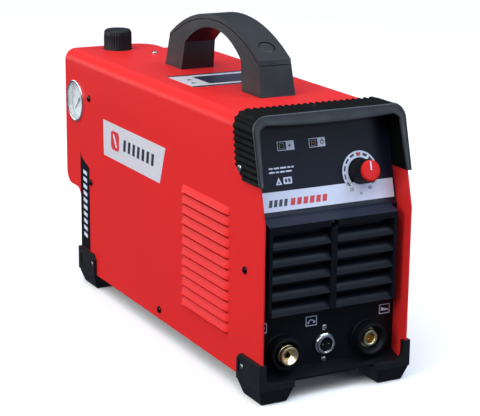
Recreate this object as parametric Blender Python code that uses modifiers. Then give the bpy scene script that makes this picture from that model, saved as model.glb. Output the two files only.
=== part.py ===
"""Plasma cutter unit: folded steel case with a moulded front, ribbed hood and arched handle,
a filter regulator behind the rear panel, and the power, air and control parts inside.

Run with: blender --background --python part.py
Meshes are built in metres, +Z up, with the front facing -Y. The dimensions and the helper
functions use millimetres. A distance called "back" is measured from the cover's front edge.
"""

import math

import bmesh
import bpy
from mathutils import Matrix, Vector

MM = 0.001
GAP = 0.3  # clearance between pieces that touch
REACH = 3.0  # how far a cutter runs past the wall that it cuts

# Case
CASE_WIDTH = 168.0
CASE_TOP = 280.0
CASE_BOTTOM = 18.5
CASE_DEPTH = 458.0  # front edge to the rear edge of the plain sides
GUARD_DEPTH = 501.5  # front edge to the rear edge of the regulator guard
SHEET = 1.5
BEND_RADIUS = 13.6
KINK_HEIGHT = 184.0  # the front edges lean back above this height
FRONT_SLOPE = 0.27  # how far the front leans back per unit of height
GUARD_LOW = 118.0  # lower edge of the guard on the left side

# Feet
FOOT_OUT = 3.8  # how far the feet stand outside the cover's sides
FOOT_LIP = 1.3  # how far they stand in front of its edge
FOOT_WIDTH = 40.2
FOOT_LENGTH = 48.1
FOOT_TOP = 43.7
FOOT_TAPER = 6.5
POST_WIDTH = 8.0
FOOT_BAR_TOP = 22.5

# Hood
HOOD_HALF = 87.0
HOOD_TOP = 286.3
HOOD_LOW = 220.5
HOOD_FRONT = 5.9  # back distance of the rim at the hood's lower edge
HOOD_REAR = 62.0
RIB_PITCH = 7.0
RIB_DEPTH = 1.5
HOOD_SEAT = 1.9  # depth of the side screws' seats
TOP_SEAT_HEIGHT = 282.0  # floor of the top screw's seat

# Front panel
PANEL_BACK = 24.0  # back distance of the socket face
PANEL_WALL = 2.8
PANEL_HALF = 82.1
PANEL_TOP = 276.0
SHELF_HEIGHT = 187.0
GRILLE_BACK = 8.5
GRILLE_HALF = 73.5
GRILLE_LOW = 87.5
GRILLE_TOP = 179.0
GRILLE_ROWS = 5
GRILLE_PITCH = 17.0
SOCKET_HEIGHT = 46.0
SOCKET_SPREAD = 50.0
COLLAR_RADIUS = 17.0
COLLAR_LENGTH = 13.5
COLLAR_BORE = 13.5
PILOT_BORE = 8.8

# Control knob
KNOB_X = 42.6
KNOB_HEIGHT = 217.0
KNOB_RADIUS = 12.6
KNOB_LENGTH = 22.5
KNOB_CAP = 3.0  # thickness of the cap over the skirt
SHAFT_BORE = 4.4

# Indicator lamps
LED_SPOTS = (-43.0, -7.0)
LED_HEIGHT = 249.5
LED_BORE = 1.9

# Side louvres
LOUVRE_FRONT = 71.0
LOUVRE_REAR = 176.0
LOUVRE_LOW = 55.3
LOUVRE_PITCH = 11.2
LOUVRE_HEIGHT = 10.5
LOUVRE_COUNT = 12
LOUVRE_BULGE = 3.4

# Handle
HANDLE_CENTRE = 239.5
HANDLE_HALF_LENGTH = 113.5
HANDLE_KNEE = 105.5
HANDLE_KNEE_HEIGHT = 317.0
HANDLE_APEX = 350.5
HANDLE_INNER_HALF = 72.0
HANDLE_INNER_KNEE = 66.0
HANDLE_INNER_HEIGHT = 312.0
HANDLE_INNER_APEX = 336.5
HANDLE_HALF_WIDTH = 20.3
HANDLE_TOP_HALF_WIDTH = 17.0
CAP_THICKNESS = 5.5

# Rear panel and the parts on it
REAR_BACK = 440.0
REGULATOR_X = -27.0
REGULATOR_BACK = 473.0
REGULATOR_HALF = 18.0
PORT_HEIGHT = 227.0  # height of the regulator's inlet and outlet
GAUGE_BACK = 470.0
GAUGE_HEIGHT = 221.5
GAUGE_RADIUS = 25.0
BOWL_RADIUS = 17.0
REGULATOR_KNOB_RADIUS = 16.8
REGULATOR_KNOB_TOP = 304.0
FAN_X = 20.0
FAN_HEIGHT = 85.0
FAN_HALF = 46.0
SWITCH_X = 45.0
SWITCH_HEIGHT = 235.0
GLAND_HEIGHT = 176.0

SIDE_SCREWS = ((428.0, 231.4), (425.0, 130.4), (234.6, 29.5), (37.3, 130.6))
HOOD_SCREW = (47.5, 231.0)
HOOD_TOP_SCREW_BACK = 54.0
COVER_TOP_SCREW_BACK = 426.0

HALF = CASE_WIDTH / 2.0
INSIDE = HALF - SHEET - GAP
FRONT_EDGE = -(GUARD_DEPTH - FOOT_LIP) / 2.0
PANEL_NORMAL = Vector((0.0, -1.0, FRONT_SLOPE)).normalized()
PANEL_SLOPE_BACK = 26.0  # back distance of the inclined face at the shelf

RED = ((0.75, 0.025, 0.02), 0.32, 0.0)
BLACK_PLASTIC = ((0.016, 0.018, 0.026), 0.45, 0.0)
BLACK_RUBBER = ((0.012, 0.012, 0.014), 0.7, 0.0)
BLACK_METAL = ((0.02, 0.02, 0.022), 0.4, 0.6)
BRASS = ((0.72, 0.48, 0.17), 0.28, 1.0)
CHROME = ((0.8, 0.8, 0.82), 0.15, 1.0)
ZINC = ((0.55, 0.56, 0.58), 0.4, 1.0)
ALUMINIUM = ((0.7, 0.71, 0.73), 0.35, 1.0)
GREEN_BOARD = ((0.01, 0.12, 0.05), 0.5, 0.0)
COPPER = ((0.65, 0.25, 0.1), 0.35, 1.0)
WHITE = ((0.8, 0.8, 0.8), 0.5, 0.0)
CLEAR = ((0.7, 0.8, 0.85), 0.1, 0.0)
GREEN_LED = ((0.05, 0.5, 0.1), 0.3, 0.0)
AMBER_LED = ((0.7, 0.35, 0.03), 0.3, 0.0)
FERRITE = ((0.05, 0.05, 0.055), 0.6, 0.0)

PARTS = None
CUTTERS = None


# ---------------------------------------------------------------- helpers

def back(distance):
    """World Y of a point that lies this far behind the cover's front edge."""
    return FRONT_EDGE + distance


def clear_scene():
    for obj in list(bpy.data.objects):
        bpy.data.objects.remove(obj, do_unlink=True)


def new_collection(name):
    collection = bpy.data.collections.new(name)
    bpy.context.scene.collection.children.link(collection)
    return collection


def finish(obj, look):
    """Give a piece its own material."""
    colour, roughness, metallic = look
    material = bpy.data.materials.new(obj.name)
    material.use_nodes = True
    shader = material.node_tree.nodes["Principled BSDF"]
    shader.inputs["Base Color"].default_value = (*colour, 1.0)
    shader.inputs["Roughness"].default_value = roughness
    shader.inputs["Metallic"].default_value = metallic
    obj.data.materials.clear()
    obj.data.materials.append(material)
    return obj


def place(name, data):
    obj = bpy.data.objects.new(name, data)
    PARTS.objects.link(obj)
    return obj


def as_cutter(obj):
    """Move a shape to the cutters, where it only serves a Boolean."""
    for collection in list(obj.users_collection):
        collection.objects.unlink(obj)
    CUTTERS.objects.link(obj)
    obj.hide_render = True
    obj.display_type = "WIRE"
    return obj


def mesh_from(bm, name):
    bmesh.ops.recalc_face_normals(bm, faces=bm.faces)
    mesh = bpy.data.meshes.new(name)
    bm.to_mesh(mesh)
    bm.free()
    return mesh


def block(name, x, y, z, taper=0.0):
    """A box between (low, high) pairs; taper pulls its lower face in on all sides."""
    bm = bmesh.new()
    bmesh.ops.create_cube(bm, size=1.0)
    for vert in bm.verts:
        inset = taper if vert.co.z < 0.0 else 0.0
        corner = []
        for value, (low, high) in zip(vert.co, (x, y, z)):
            corner.append(high if value > 0.0 else low)
        for i, (low, high) in enumerate((x, y)):
            corner[i] += inset if corner[i] == low else -inset
        vert.co = Vector(corner) * MM
    return place(name, mesh_from(bm, name))


def rod(name, centre, direction, radius, length, sides=24):
    """A cylinder centred at a point, running along a direction."""
    bm = bmesh.new()
    bmesh.ops.create_cone(bm, cap_ends=True, segments=sides, radius1=radius * MM,
                          radius2=radius * MM, depth=length * MM)
    turn = Vector(direction).to_track_quat("Z", "Y").to_matrix().to_4x4()
    bmesh.ops.transform(bm, matrix=Matrix.Translation(Vector(centre) * MM) @ turn, verts=bm.verts)
    return place(name, mesh_from(bm, name))


def prism(name, outline, axis, low, high):
    """A flat outline extruded along X, Y or Z; its points are the two other coordinates."""
    columns = {
        "X": ((0, 1, 0), (0, 0, 1), (1, 0, 0)),
        "Y": ((1, 0, 0), (0, 0, 1), (0, -1, 0)),
        "Z": ((1, 0, 0), (0, 1, 0), (0, 0, 1)),
    }[axis]
    curve = bpy.data.curves.new(name, "CURVE")
    curve.dimensions = "2D"
    curve.fill_mode = "BOTH"
    curve.extrude = (high - low) / 2.0 * MM
    spline = curve.splines.new("POLY")
    spline.points.add(len(outline) - 1)
    for point, (u, v) in zip(spline.points, outline):
        point.co = (u * MM, v * MM, 0.0, 1.0)
    spline.use_cyclic_u = True
    source = bpy.data.objects.new(name, curve)
    bpy.context.scene.collection.objects.link(source)
    evaluated = source.evaluated_get(bpy.context.evaluated_depsgraph_get())
    flat = bpy.data.meshes.new_from_object(evaluated)
    bpy.data.objects.remove(source, do_unlink=True)
    bm = bmesh.new()
    bm.from_mesh(flat)
    bpy.data.meshes.remove(flat)
    bmesh.ops.remove_doubles(bm, verts=bm.verts, dist=0.01 * MM)
    middle = Vector(columns[2]) * (abs(columns[2][1]) * -2.0 + 1.0) * (low + high) / 2.0 * MM
    turn = Matrix(columns).transposed().to_4x4()
    bmesh.ops.transform(bm, matrix=Matrix.Translation(middle) @ turn, verts=bm.verts)
    return place(name, mesh_from(bm, name))


def turned(name, profile, origin, direction, steps=32, closed=False):
    """A turned solid: (radius, height) points down its outer side, spun about an axis."""
    mesh = bpy.data.meshes.new(name)
    count = len(profile)
    edges = [(i, i + 1) for i in range(count - 1)]
    if closed:
        edges.append((count - 1, 0))
    mesh.from_pydata([(radius * MM, 0.0, height * MM) for radius, height in profile], edges, [])
    obj = place(name, mesh)
    obj.matrix_world = (Matrix.Translation(Vector(origin) * MM)
                        @ Vector(direction).to_track_quat("Z", "Y").to_matrix().to_4x4())
    screw = obj.modifiers.new("turn", "SCREW")
    screw.axis = "Z"
    screw.angle = math.tau
    screw.steps = steps
    screw.render_steps = steps
    screw.use_merge_vertices = True
    screw.merge_threshold = 0.02 * MM
    screw.use_smooth_shade = True
    return obj


def gather(name, pieces):
    """Join shapes that stand apart from each other into one object."""
    bm = bmesh.new()
    for piece in pieces:
        bm.from_mesh(piece.data)
        bpy.data.objects.remove(piece, do_unlink=True)
    return place(name, mesh_from(bm, name))


def combine(target, operation, others):
    for other in others:
        as_cutter(other)
        modifier = target.modifiers.new(other.name, "BOOLEAN")
        modifier.operation = operation
        modifier.solver = "EXACT"
        modifier.object = other
    return target


def cut(target, *others):
    return combine(target, "DIFFERENCE", others)


def fuse(target, *others):
    return combine(target, "UNION", others)


def arc(centre, radius, start, end, steps):
    """Points along an arc; the angles are in degrees."""
    points = []
    for i in range(steps + 1):
        angle = math.radians(start + (end - start) * i / steps)
        points.append((centre[0] + radius * math.cos(angle), centre[1] + radius * math.sin(angle)))
    return points


def bow(half_chord, low, apex, centre, steps):
    """An arched line from one end of a chord to the other, front to rear."""
    rise = apex - low
    radius = (half_chord ** 2 + rise ** 2) / (2.0 * rise)
    span = math.degrees(math.asin(half_chord / radius))
    return arc((centre, apex - radius), radius, 90.0 + span, 90.0 - span, steps)


def arch_section(half, top, low, radius, steps=4):
    """Outline of an upside-down U's outside, from its left foot to its right foot."""
    return ([(-half, low)]
            + arc((-half + radius, top - radius), radius, 180.0, 90.0, steps)
            + arc((half - radius, top - radius), radius, 90.0, 0.0, steps)
            + [(half, low)])


def screw_hole(name, centre, direction, radius=2.4, length=16.0):
    return rod(name, centre, direction, radius, length, 10)


def side_screw_holes(name, side, depth, spots):
    """Holes for the side screws, bored inwards from outside one side of the case."""
    holes = []
    for distance, height in spots:
        centre = (side * (HALF + REACH - depth / 2.0), back(distance), height)
        holes.append(screw_hole(name, centre, (side, 0.0, 0.0), length=depth))
    return gather(name, holes)


# ---------------------------------------------------------------- case

def build_base_pan():
    low = CASE_BOTTOM
    outline = [(-INSIDE, low), (INSIDE, low), (INSIDE, 38.0), (INSIDE - SHEET, 38.0),
               (INSIDE - SHEET, low + SHEET), (-INSIDE + SHEET, low + SHEET),
               (-INSIDE + SHEET, 38.0), (-INSIDE, 38.0)]
    pan = prism("base_pan", outline, "Y", back(50.0), back(CASE_DEPTH - 6.0))
    for side in (-1, 1):
        cut(pan, side_screw_holes(f"pan_holes_{side}", side, 12.0, SIDE_SCREWS[2:3]))
    slots = []
    for i in range(8):
        y = back(150.0 + 16.0 * i)
        slots.append(block("pan_slot", (-40.0, 40.0), (y, y + 6.0), (low - REACH, low + 2 * REACH)))
    cut(pan, gather("pan_vents", slots))
    return finish(pan, BLACK_METAL)


def louvre_shapes(side):
    """The pressed louvre hoods of one side, and the pockets that open them downwards."""
    hoods = []
    pockets = []
    out = HALF + LOUVRE_BULGE
    for i in range(LOUVRE_COUNT):
        z = LOUVRE_LOW + LOUVRE_PITCH * i
        hood = [(side * (HALF - 0.8), z + LOUVRE_HEIGHT), (side * out, z + 2.5),
                (side * out, z), (side * (HALF - 0.8), z)]
        pocket = [(side * (HALF - 4.0), z + LOUVRE_HEIGHT - 4.0), (side * (out - 1.1), z + 2.2),
                  (side * (out - 1.1), z - 0.8), (side * (HALF - 4.0), z - 0.8)]
        hoods.append(prism("louvre", hood, "Y", back(LOUVRE_FRONT), back(LOUVRE_REAR)))
        pockets.append(prism("louvre_pocket", pocket, "Y",
                             back(LOUVRE_FRONT + 1.2), back(LOUVRE_REAR - 1.2)))
    return gather(f"louvres_{side}", hoods), gather(f"louvre_pockets_{side}", pockets)


def build_cover():
    outer = arch_section(HALF, CASE_TOP, CASE_BOTTOM, BEND_RADIUS)
    inner = arch_section(HALF - SHEET, CASE_TOP - SHEET, CASE_BOTTOM, BEND_RADIUS - SHEET)
    cover = prism("cover", outer + inner[::-1], "Y", back(0.0), back(GUARD_DEPTH))
    for side in (-1, 1):
        hoods, pockets = louvre_shapes(side)
        fuse(cover, hoods)
        cut(cover, pockets)
    above = CASE_TOP + 20.0
    lean = [(back(0.0), KINK_HEIGHT), (back(FRONT_SLOPE * (above - KINK_HEIGHT)), above),
            (back(-20.0), above), (back(-20.0), KINK_HEIGHT)]
    cut(cover, prism("front_lean", lean, "X", -HALF - 8.0, HALF + 8.0))
    behind = back(GUARD_DEPTH + 10.0)
    plan = ([(HALF + 8.0, back(CASE_DEPTH)), (27.0, back(CASE_DEPTH))]
            + arc((2.0, back(CASE_DEPTH + 18.0)), 25.5, 0.0, 90.0, 5)
            + [(2.0, behind), (HALF + 8.0, behind)])
    cut(cover, prism("guard_plan", plan, "Z", -5.0, CASE_TOP + 8.0))
    side_edge = ([(back(CASE_DEPTH), -5.0), (back(CASE_DEPTH), GUARD_LOW - 14.0)]
                 + arc((back(CASE_DEPTH + 12.0), GUARD_LOW - 14.0), 12.0, 180.0, 90.0, 4)
                 + arc((back(GUARD_DEPTH - 15.0), GUARD_LOW + 13.0), 15.0, -90.0, 0.0, 4)
                 + [(behind, GUARD_LOW + 13.0), (behind, -5.0)])
    cut(cover, prism("guard_edge", side_edge, "X", -HALF - 8.0, -HALF + 8.0))
    cut(cover, rod("gauge_hole", (-HALF, back(GAUGE_BACK), GAUGE_HEIGHT), (1, 0, 0),
                   GAUGE_RADIUS - 1.2, 10.0, 24))
    cut(cover, rod("regulator_hole", (REGULATOR_X, back(REGULATOR_BACK), CASE_TOP), (0, 0, 1),
                   REGULATOR_KNOB_RADIUS + 1.0, 10.0, 24))
    for side in (-1, 1):
        cut(cover, side_screw_holes(f"cover_holes_{side}", side, 12.0, SIDE_SCREWS + (HOOD_SCREW,)))
    tops = [screw_hole("top_hole", (0.0, back(y), CASE_TOP), (0, 0, 1))
            for y in (HOOD_TOP_SCREW_BACK, COVER_TOP_SCREW_BACK)]
    cut(cover, gather("cover_top_holes", tops))
    return finish(cover, RED)


def build_rear_panel():
    top = CASE_TOP - SHEET - GAP
    radius = BEND_RADIUS - SHEET - GAP
    front = back(REAR_BACK - 18.0)
    low = CASE_BOTTOM + SHEET + GAP
    panel = prism("rear_panel", arch_section(INSIDE, top, low, radius), "Y", front, back(REAR_BACK))
    hollow = arch_section(INSIDE - SHEET, top - SHEET, low - REACH, radius - SHEET)
    cut(panel, prism("rear_hollow", hollow, "Y", front - REACH, back(REAR_BACK - SHEET)))
    for side in (-1, 1):
        notch = sorted((side * (INSIDE - SHEET - GAP), side * (INSIDE + REACH)))
        cut(panel, block(f"pan_notch_{side}", notch, (front - REACH, back(REAR_BACK + REACH)),
                         (low - REACH, low + 18.5)))
    slots = []
    for i in range(8):
        z = FAN_HEIGHT - 38.0 + 10.0 * i
        slots.append(block("fan_slot", (FAN_X - 38.0, FAN_X + 38.0),
                           (back(REAR_BACK - 6.0), back(REAR_BACK + 6.0)), (z, z + 5.5)))
    cut(panel, gather("fan_slots", slots))
    through = (0.0, 1.0, 0.0)
    holes = [
        rod("outlet_hole", (REGULATOR_X, back(REAR_BACK), PORT_HEIGHT), through, 7.6, 20.0, 20),
        rod("gland_hole", (SWITCH_X, back(REAR_BACK), GLAND_HEIGHT), through, 10.3, 20.0, 20),
        block("switch_hole", (SWITCH_X - 15.3, SWITCH_X + 15.3),
              (back(REAR_BACK - 8.0), back(REAR_BACK + 8.0)),
              (SWITCH_HEIGHT - 12.3, SWITCH_HEIGHT + 12.3)),
    ]
    cut(panel, gather("rear_holes", holes))
    for side in (-1, 1):
        cut(panel, side_screw_holes(f"rear_side_holes_{side}", side, 12.0, SIDE_SCREWS[:2]))
    cut(panel, screw_hole("rear_top_hole", (0.0, back(COVER_TOP_SCREW_BACK), CASE_TOP), (0, 0, 1)))
    return finish(panel, BLACK_METAL)


def build_hood():
    """The ribbed visor over the cover's front end, with its rim turned inwards."""
    length = HOOD_REAR + 10.0
    hood = prism("hood", arch_section(HOOD_HALF, HOOD_TOP, HOOD_LOW, 15.0, 5), "Y",
                 back(-5.0), back(HOOD_REAR))
    above = HOOD_TOP + 10.0
    run = FRONT_SLOPE * (above - HOOD_LOW)
    lean = [(back(-30.0), HOOD_LOW - 10.0), (back(HOOD_FRONT - FRONT_SLOPE * 10.0), HOOD_LOW - 10.0),
            (back(HOOD_FRONT + run), above), (back(-30.0), above)]
    cut(hood, prism("hood_lean", lean, "X", -HOOD_HALF - REACH, HOOD_HALF + REACH))
    rim = 4.2
    slope_run = FRONT_SLOPE * (above - KINK_HEIGHT)
    seat_half = HALF + GAP
    seat = arch_section(seat_half, CASE_TOP + GAP, HOOD_LOW - 15.0, BEND_RADIUS, 5)
    cavity = prism("hood_cavity", seat, "Y", back(-30.0), back(length))
    keep_front = [(back(-40.0), KINK_HEIGHT - 5.0), (back(-GAP - FRONT_SLOPE * 5.0), KINK_HEIGHT - 5.0),
                  (back(slope_run - GAP), above), (back(-40.0), above)]
    as_cutter(cavity)
    cut(cavity, prism("hood_cavity_front", keep_front, "X", -120.0, 120.0))
    cut(hood, cavity)
    window = ([(-HOOD_HALF + 5.5, HOOD_LOW - 5.0)]
              + arc((-76.5 + 9.0, HOOD_TOP - 15.0 - 9.0), 9.0, 180.0, 90.0, 4)
              + arc((76.5 - 9.0, HOOD_TOP - 15.0 - 9.0), 9.0, 90.0, 0.0, 4)
              + [(HOOD_HALF - 5.5, HOOD_LOW - 5.0)])
    cut(hood, prism("hood_window", window, "Y", back(-20.0), back(HOOD_REAR - rim)))
    chamfer = [(back(41.0), HOOD_LOW - 1.0), (back(HOOD_REAR - 5.0), HOOD_LOW + 13.0),
               (back(HOOD_REAR + 2.0), HOOD_LOW + 60.0), (back(HOOD_REAR + 9.0), HOOD_LOW - 1.0)]
    cut(hood, prism("hood_chamfer", chamfer, "X", -HOOD_HALF - REACH, HOOD_HALF + REACH))
    grooves = []
    rib_front = back(HOOD_FRONT + FRONT_SLOPE * 65.0 + 9.0)
    for i in range(-11, 12):
        x = RIB_PITCH * (i + 0.5)
        if i < 11:
            grooves.append(block("top_groove", (x - 1.2, x + 1.2), (rib_front, back(length)),
                                 (HOOD_TOP - RIB_DEPTH, HOOD_TOP + REACH)))
    for side in (-1, 1):
        for i in range(7):
            z = HOOD_TOP - 20.0 - 6.2 * i
            start = back(HOOD_FRONT + FRONT_SLOPE * (z - HOOD_LOW) + 10.0)
            low, high = sorted((side * (HOOD_HALF - RIB_DEPTH), side * (HOOD_HALF + REACH)))
            grooves.append(block("side_groove", (low, high), (start, back(length)), (z, z + 2.4)))
    cut(hood, gather("hood_grooves", grooves))
    seats = [rod("screw_seat", (0.0, back(HOOD_TOP_SCREW_BACK), TOP_SEAT_HEIGHT + 10.0), (0, 0, 1),
                 5.0, 20.0, 20)]
    holes = [screw_hole("hood_hole", (0.0, back(HOOD_TOP_SCREW_BACK), CASE_TOP + 2.0), (0, 0, 1))]
    for side in (-1, 1):
        y, z = back(HOOD_SCREW[0]), HOOD_SCREW[1]
        holes.append(screw_hole("hood_hole", (side * (HALF + 2.0), y, z), (1, 0, 0), length=12.0))
        seat_x = side * (HOOD_HALF - HOOD_SEAT + 5.0)
        seats.append(rod("screw_seat", (seat_x, y, z), (1, 0, 0), 4.6, 10.0, 20))
    cut(hood, gather("hood_seats", seats))
    cut(hood, gather("hood_holes", holes))
    return finish(hood, BLACK_PLASTIC)


def build_foot(name, side, end):
    """A corner guard and foot; side is -1 left or 1 right, end is -1 front or 1 rear."""
    outer = HALF + FOOT_OUT
    inner = outer - FOOT_WIDTH
    face = back(-FOOT_LIP) if end < 0 else back(CASE_DEPTH + FOOT_LIP)

    def span(a, b, sign, origin=0.0):
        return tuple(sorted((origin + sign * a, origin + sign * b)))

    pad_top = CASE_BOTTOM - GAP
    foot = block(name, span(inner, outer, side), span(0.0, FOOT_LENGTH, -end, face),
                 (0.0, pad_top), FOOT_TAPER)
    wall = [(face, pad_top - 2.0), (face, FOOT_TOP), (face - end * (FOOT_LENGTH - 6.0), FOOT_TOP),
            (face - end * FOOT_LENGTH, FOOT_TOP - 6.0), (face - end * FOOT_LENGTH, pad_top - 2.0)]
    low, high = span(HALF + GAP, outer, side)
    fuse(foot, prism(f"{name}_wall", wall, "X", low, high))
    post = outer - POST_WIDTH
    bar = ([(side * outer, pad_top - 2.0), (side * outer, FOOT_TOP), (side * post, FOOT_TOP)]
           + [(side * (post - 9.0 + 9.0 * math.cos(math.radians(a))),
               FOOT_BAR_TOP + 9.0 - 9.0 * math.sin(math.radians(a))) for a in (0, 30, 60, 90)]
           + [(side * inner, FOOT_BAR_TOP), (side * inner, pad_top - 2.0)])
    thin = sorted((face, face - end * (FOOT_LIP - GAP)))
    fuse(foot, prism(f"{name}_bar", bar, "Y", thin[0], thin[1]))
    within = [(side * min(abs(x), INSIDE) if abs(x) > INSIDE else x, z) for x, z in bar]
    deep = sorted((face - end * 0.5, face - end * 6.0))
    fuse(foot, prism(f"{name}_bar_back", within, "Y", deep[0], deep[1]))
    return finish(foot, BLACK_RUBBER)


# ---------------------------------------------------------------- handle

def taper_width(obj, width_low, width_high):
    """Narrow a shape's width with height, from the handle's foot to its apex."""
    for vert in obj.data.vertices:
        share = (vert.co.z / MM - CASE_TOP) / (HANDLE_APEX - CASE_TOP)
        vert.co.x *= (width_low + (width_high - width_low) * share) / width_low


def build_handle():
    centre = back(HANDLE_CENTRE)
    top = bow(HANDLE_KNEE, HANDLE_KNEE_HEIGHT, HANDLE_APEX, centre, 14)
    seam = bow(HANDLE_KNEE + 1.0, HANDLE_KNEE_HEIGHT - CAP_THICKNESS, HANDLE_APEX - CAP_THICKNESS,
               centre, 14)
    inner = bow(HANDLE_INNER_KNEE, HANDLE_INNER_HEIGHT, HANDLE_INNER_APEX, centre, 12)
    foot = CASE_TOP + GAP
    body_line = ([(centre - HANDLE_HALF_LENGTH, foot)]
                 + [(y, z - GAP) for y, z in seam]
                 + [(centre + HANDLE_HALF_LENGTH, foot), (centre + HANDLE_INNER_HALF, foot)]
                 + inner[::-1] + [(centre - HANDLE_INNER_HALF, foot)])
    body = prism("handle_body", body_line, "X", -HANDLE_HALF_WIDTH, HANDLE_HALF_WIDTH)
    taper_width(body, HANDLE_HALF_WIDTH, HANDLE_TOP_HALF_WIDTH)
    grip = prism("handle_grip", top + seam[::-1], "X", -HANDLE_HALF_WIDTH, HANDLE_HALF_WIDTH)
    taper_width(grip, HANDLE_HALF_WIDTH, HANDLE_TOP_HALF_WIDTH)
    spot, lean = handle_plug_place()
    cut(grip, rod("plug_seat", spot, lean, 8.3, 4.0, 24))
    plug = rod("handle_plug", spot - lean * 1.0, lean, 8.0, 1.4, 24)
    finish(body, BLACK_PLASTIC)
    finish(grip, BLACK_PLASTIC)
    finish(plug, BLACK_PLASTIC)


def handle_plug_place():
    """Centre and outward direction of the round plug near the handle's front end."""
    rise = HANDLE_APEX - HANDLE_KNEE_HEIGHT
    radius = (HANDLE_KNEE ** 2 + rise ** 2) / (2.0 * rise)
    ahead = -88.0
    height = HANDLE_APEX - radius + math.sqrt(radius ** 2 - ahead ** 2)
    lean = Vector((0.0, ahead, height - (HANDLE_APEX - radius))).normalized()
    return Vector((0.0, back(HANDLE_CENTRE) + ahead, height)), lean


# ---------------------------------------------------------------- front

def slope_back(height):
    """Back distance of the inclined control face at a height."""
    return PANEL_SLOPE_BACK + FRONT_SLOPE * (height - SHELF_HEIGHT)


def on_slope(x, height, out):
    """A point this far in front of the inclined control face."""
    return Vector((x, back(slope_back(height)), height)) + PANEL_NORMAL * out


def slope_plate(name, x, heights, out, thickness):
    """A flat plate parallel to the control face; out is its front face's distance."""
    run = (PANEL_NORMAL * thickness)
    corners = []
    for height in heights:
        corners.append(on_slope(0.0, height, out))
    low, high = corners
    outline = [(low.y, low.z), (high.y, high.z), (high.y - run.y, high.z - run.z),
               (low.y - run.y, low.z - run.z)]
    return prism(name, outline, "X", x[0], x[1])


def build_front_panel():
    wall = PANEL_WALL
    lip = 6.5
    line = [(slope_back(PANEL_TOP), PANEL_TOP), (PANEL_SLOPE_BACK, SHELF_HEIGHT), (PANEL_BACK, 183.0),
            (PANEL_BACK, 26.5), (lip, 21.0), (lip, CASE_BOTTOM + GAP)]
    rear = [(lip + wall, CASE_BOTTOM + GAP), (lip + wall, 19.2), (PANEL_BACK + wall, 24.5),
            (PANEL_BACK + wall, 183.0), (PANEL_SLOPE_BACK + wall, SHELF_HEIGHT - 0.5),
            (slope_back(PANEL_TOP) + wall, PANEL_TOP)]
    outline = [(back(y), z) for y, z in line + rear]
    panel = prism("front_panel", outline, "X", -PANEL_HALF, PANEL_HALF)
    combine(panel, "INTERSECT", [case_opening("panel_opening")])
    box = [(GRILLE_BACK, GRILLE_LOW), (GRILLE_BACK, GRILLE_TOP),
           (PANEL_SLOPE_BACK - 0.6, SHELF_HEIGHT - 2.0),
           (PANEL_BACK + 1.4, SHELF_HEIGHT - 2.0), (PANEL_BACK + 1.4, GRILLE_LOW)]
    box = [(back(y), z) for y, z in box]
    fuse(panel, prism("grille_block", box, "X", -GRILLE_HALF, GRILLE_HALF))
    for side in (-1, 1):
        low, high = sorted((side * PANEL_HALF, side * (PANEL_HALF - 2.4)))
        flange = [(PANEL_BACK + 1.0, 24.0), (PANEL_BACK + 1.0, 182.0),
                  (PANEL_BACK + 22.0, 200.0), (PANEL_BACK + 22.0, 24.0)]
        flange = [(back(y), z) for y, z in flange]
        fuse(panel, prism(f"panel_flange_{side}", flange, "X", low, high))
        cut(panel, side_screw_holes(f"panel_side_hole_{side}", side, 12.0, SIDE_SCREWS[3:]))
    cut(panel, block("grille_hollow", (-GRILLE_HALF + 3.0, GRILLE_HALF - 3.0),
                     (back(GRILLE_BACK + 10.0), back(60.0)), (GRILLE_LOW + 3.0, GRILLE_TOP - 3.5)))
    cells = []
    for row in range(GRILLE_ROWS):
        z = GRILLE_LOW + 3.2 + GRILLE_PITCH * row
        cell = [(GRILLE_BACK - REACH, z - 3.2), (GRILLE_BACK - REACH, z + 13.8),
                (GRILLE_BACK + 12.0, z + 13.8), (GRILLE_BACK + 12.0, z + 12.2)]
        for low in (-69.5, 3.5):
            cells.append(prism("grille_cell", [(back(y), h) for y, h in cell], "X", low, low + 66.0))
    cut(panel, gather("grille_cells", cells))
    through = (0.0, 1.0, 0.0)
    bores = []
    for x, radius in ((-SOCKET_SPREAD, COLLAR_BORE + GAP), (0.0, PILOT_BORE),
                      (SOCKET_SPREAD, COLLAR_BORE + GAP)):
        spot = (x, back(PANEL_BACK), SOCKET_HEIGHT)
        bores.append(rod("socket_bore", spot, through, radius, 24.0, 28))
    knob_spot = on_slope(KNOB_X, KNOB_HEIGHT, 0.0)
    bores.append(rod("shaft_bore", knob_spot, PANEL_NORMAL, SHAFT_BORE, 16.0, 16))
    for x in LED_SPOTS:
        bores.append(rod("led_bore", on_slope(x, LED_HEIGHT, 0.0), PANEL_NORMAL, LED_BORE, 16.0, 12))
    cut(panel, gather("panel_bores", bores))
    cut(panel, rod("screw_recess", (0.0, back(GRILLE_BACK), 174.5), through, 4.6, 9.0, 20))
    return finish(panel, BLACK_PLASTIC)


def case_opening(name):
    """The room inside the cover's front end, with its rounded upper corners."""
    top = CASE_TOP - SHEET - GAP
    section = arch_section(INSIDE, top, 0.0, BEND_RADIUS - SHEET - GAP)
    return prism(name, section, "Y", back(-10.0), back(90.0))


def build_control_overlay():
    """The printed film over the inclined control face."""
    overlay = slope_plate("control_overlay", (-80.0, 80.0), (SHELF_HEIGHT + 1.5, PANEL_TOP - 2.0),
                          GAP + 0.5, 0.5)
    combine(overlay, "INTERSECT", [case_opening("overlay_opening")])
    knob_spot = on_slope(KNOB_X, KNOB_HEIGHT, 0.0)
    holes = [rod("overlay_hole", knob_spot, PANEL_NORMAL, SHAFT_BORE, 12.0, 16)]
    for x in LED_SPOTS:
        holes.append(rod("overlay_hole", on_slope(x, LED_HEIGHT, 0.0), PANEL_NORMAL, LED_BORE, 12.0, 12))
    cut(overlay, gather("overlay_holes", holes))
    return finish(overlay, BLACK_PLASTIC)


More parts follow.
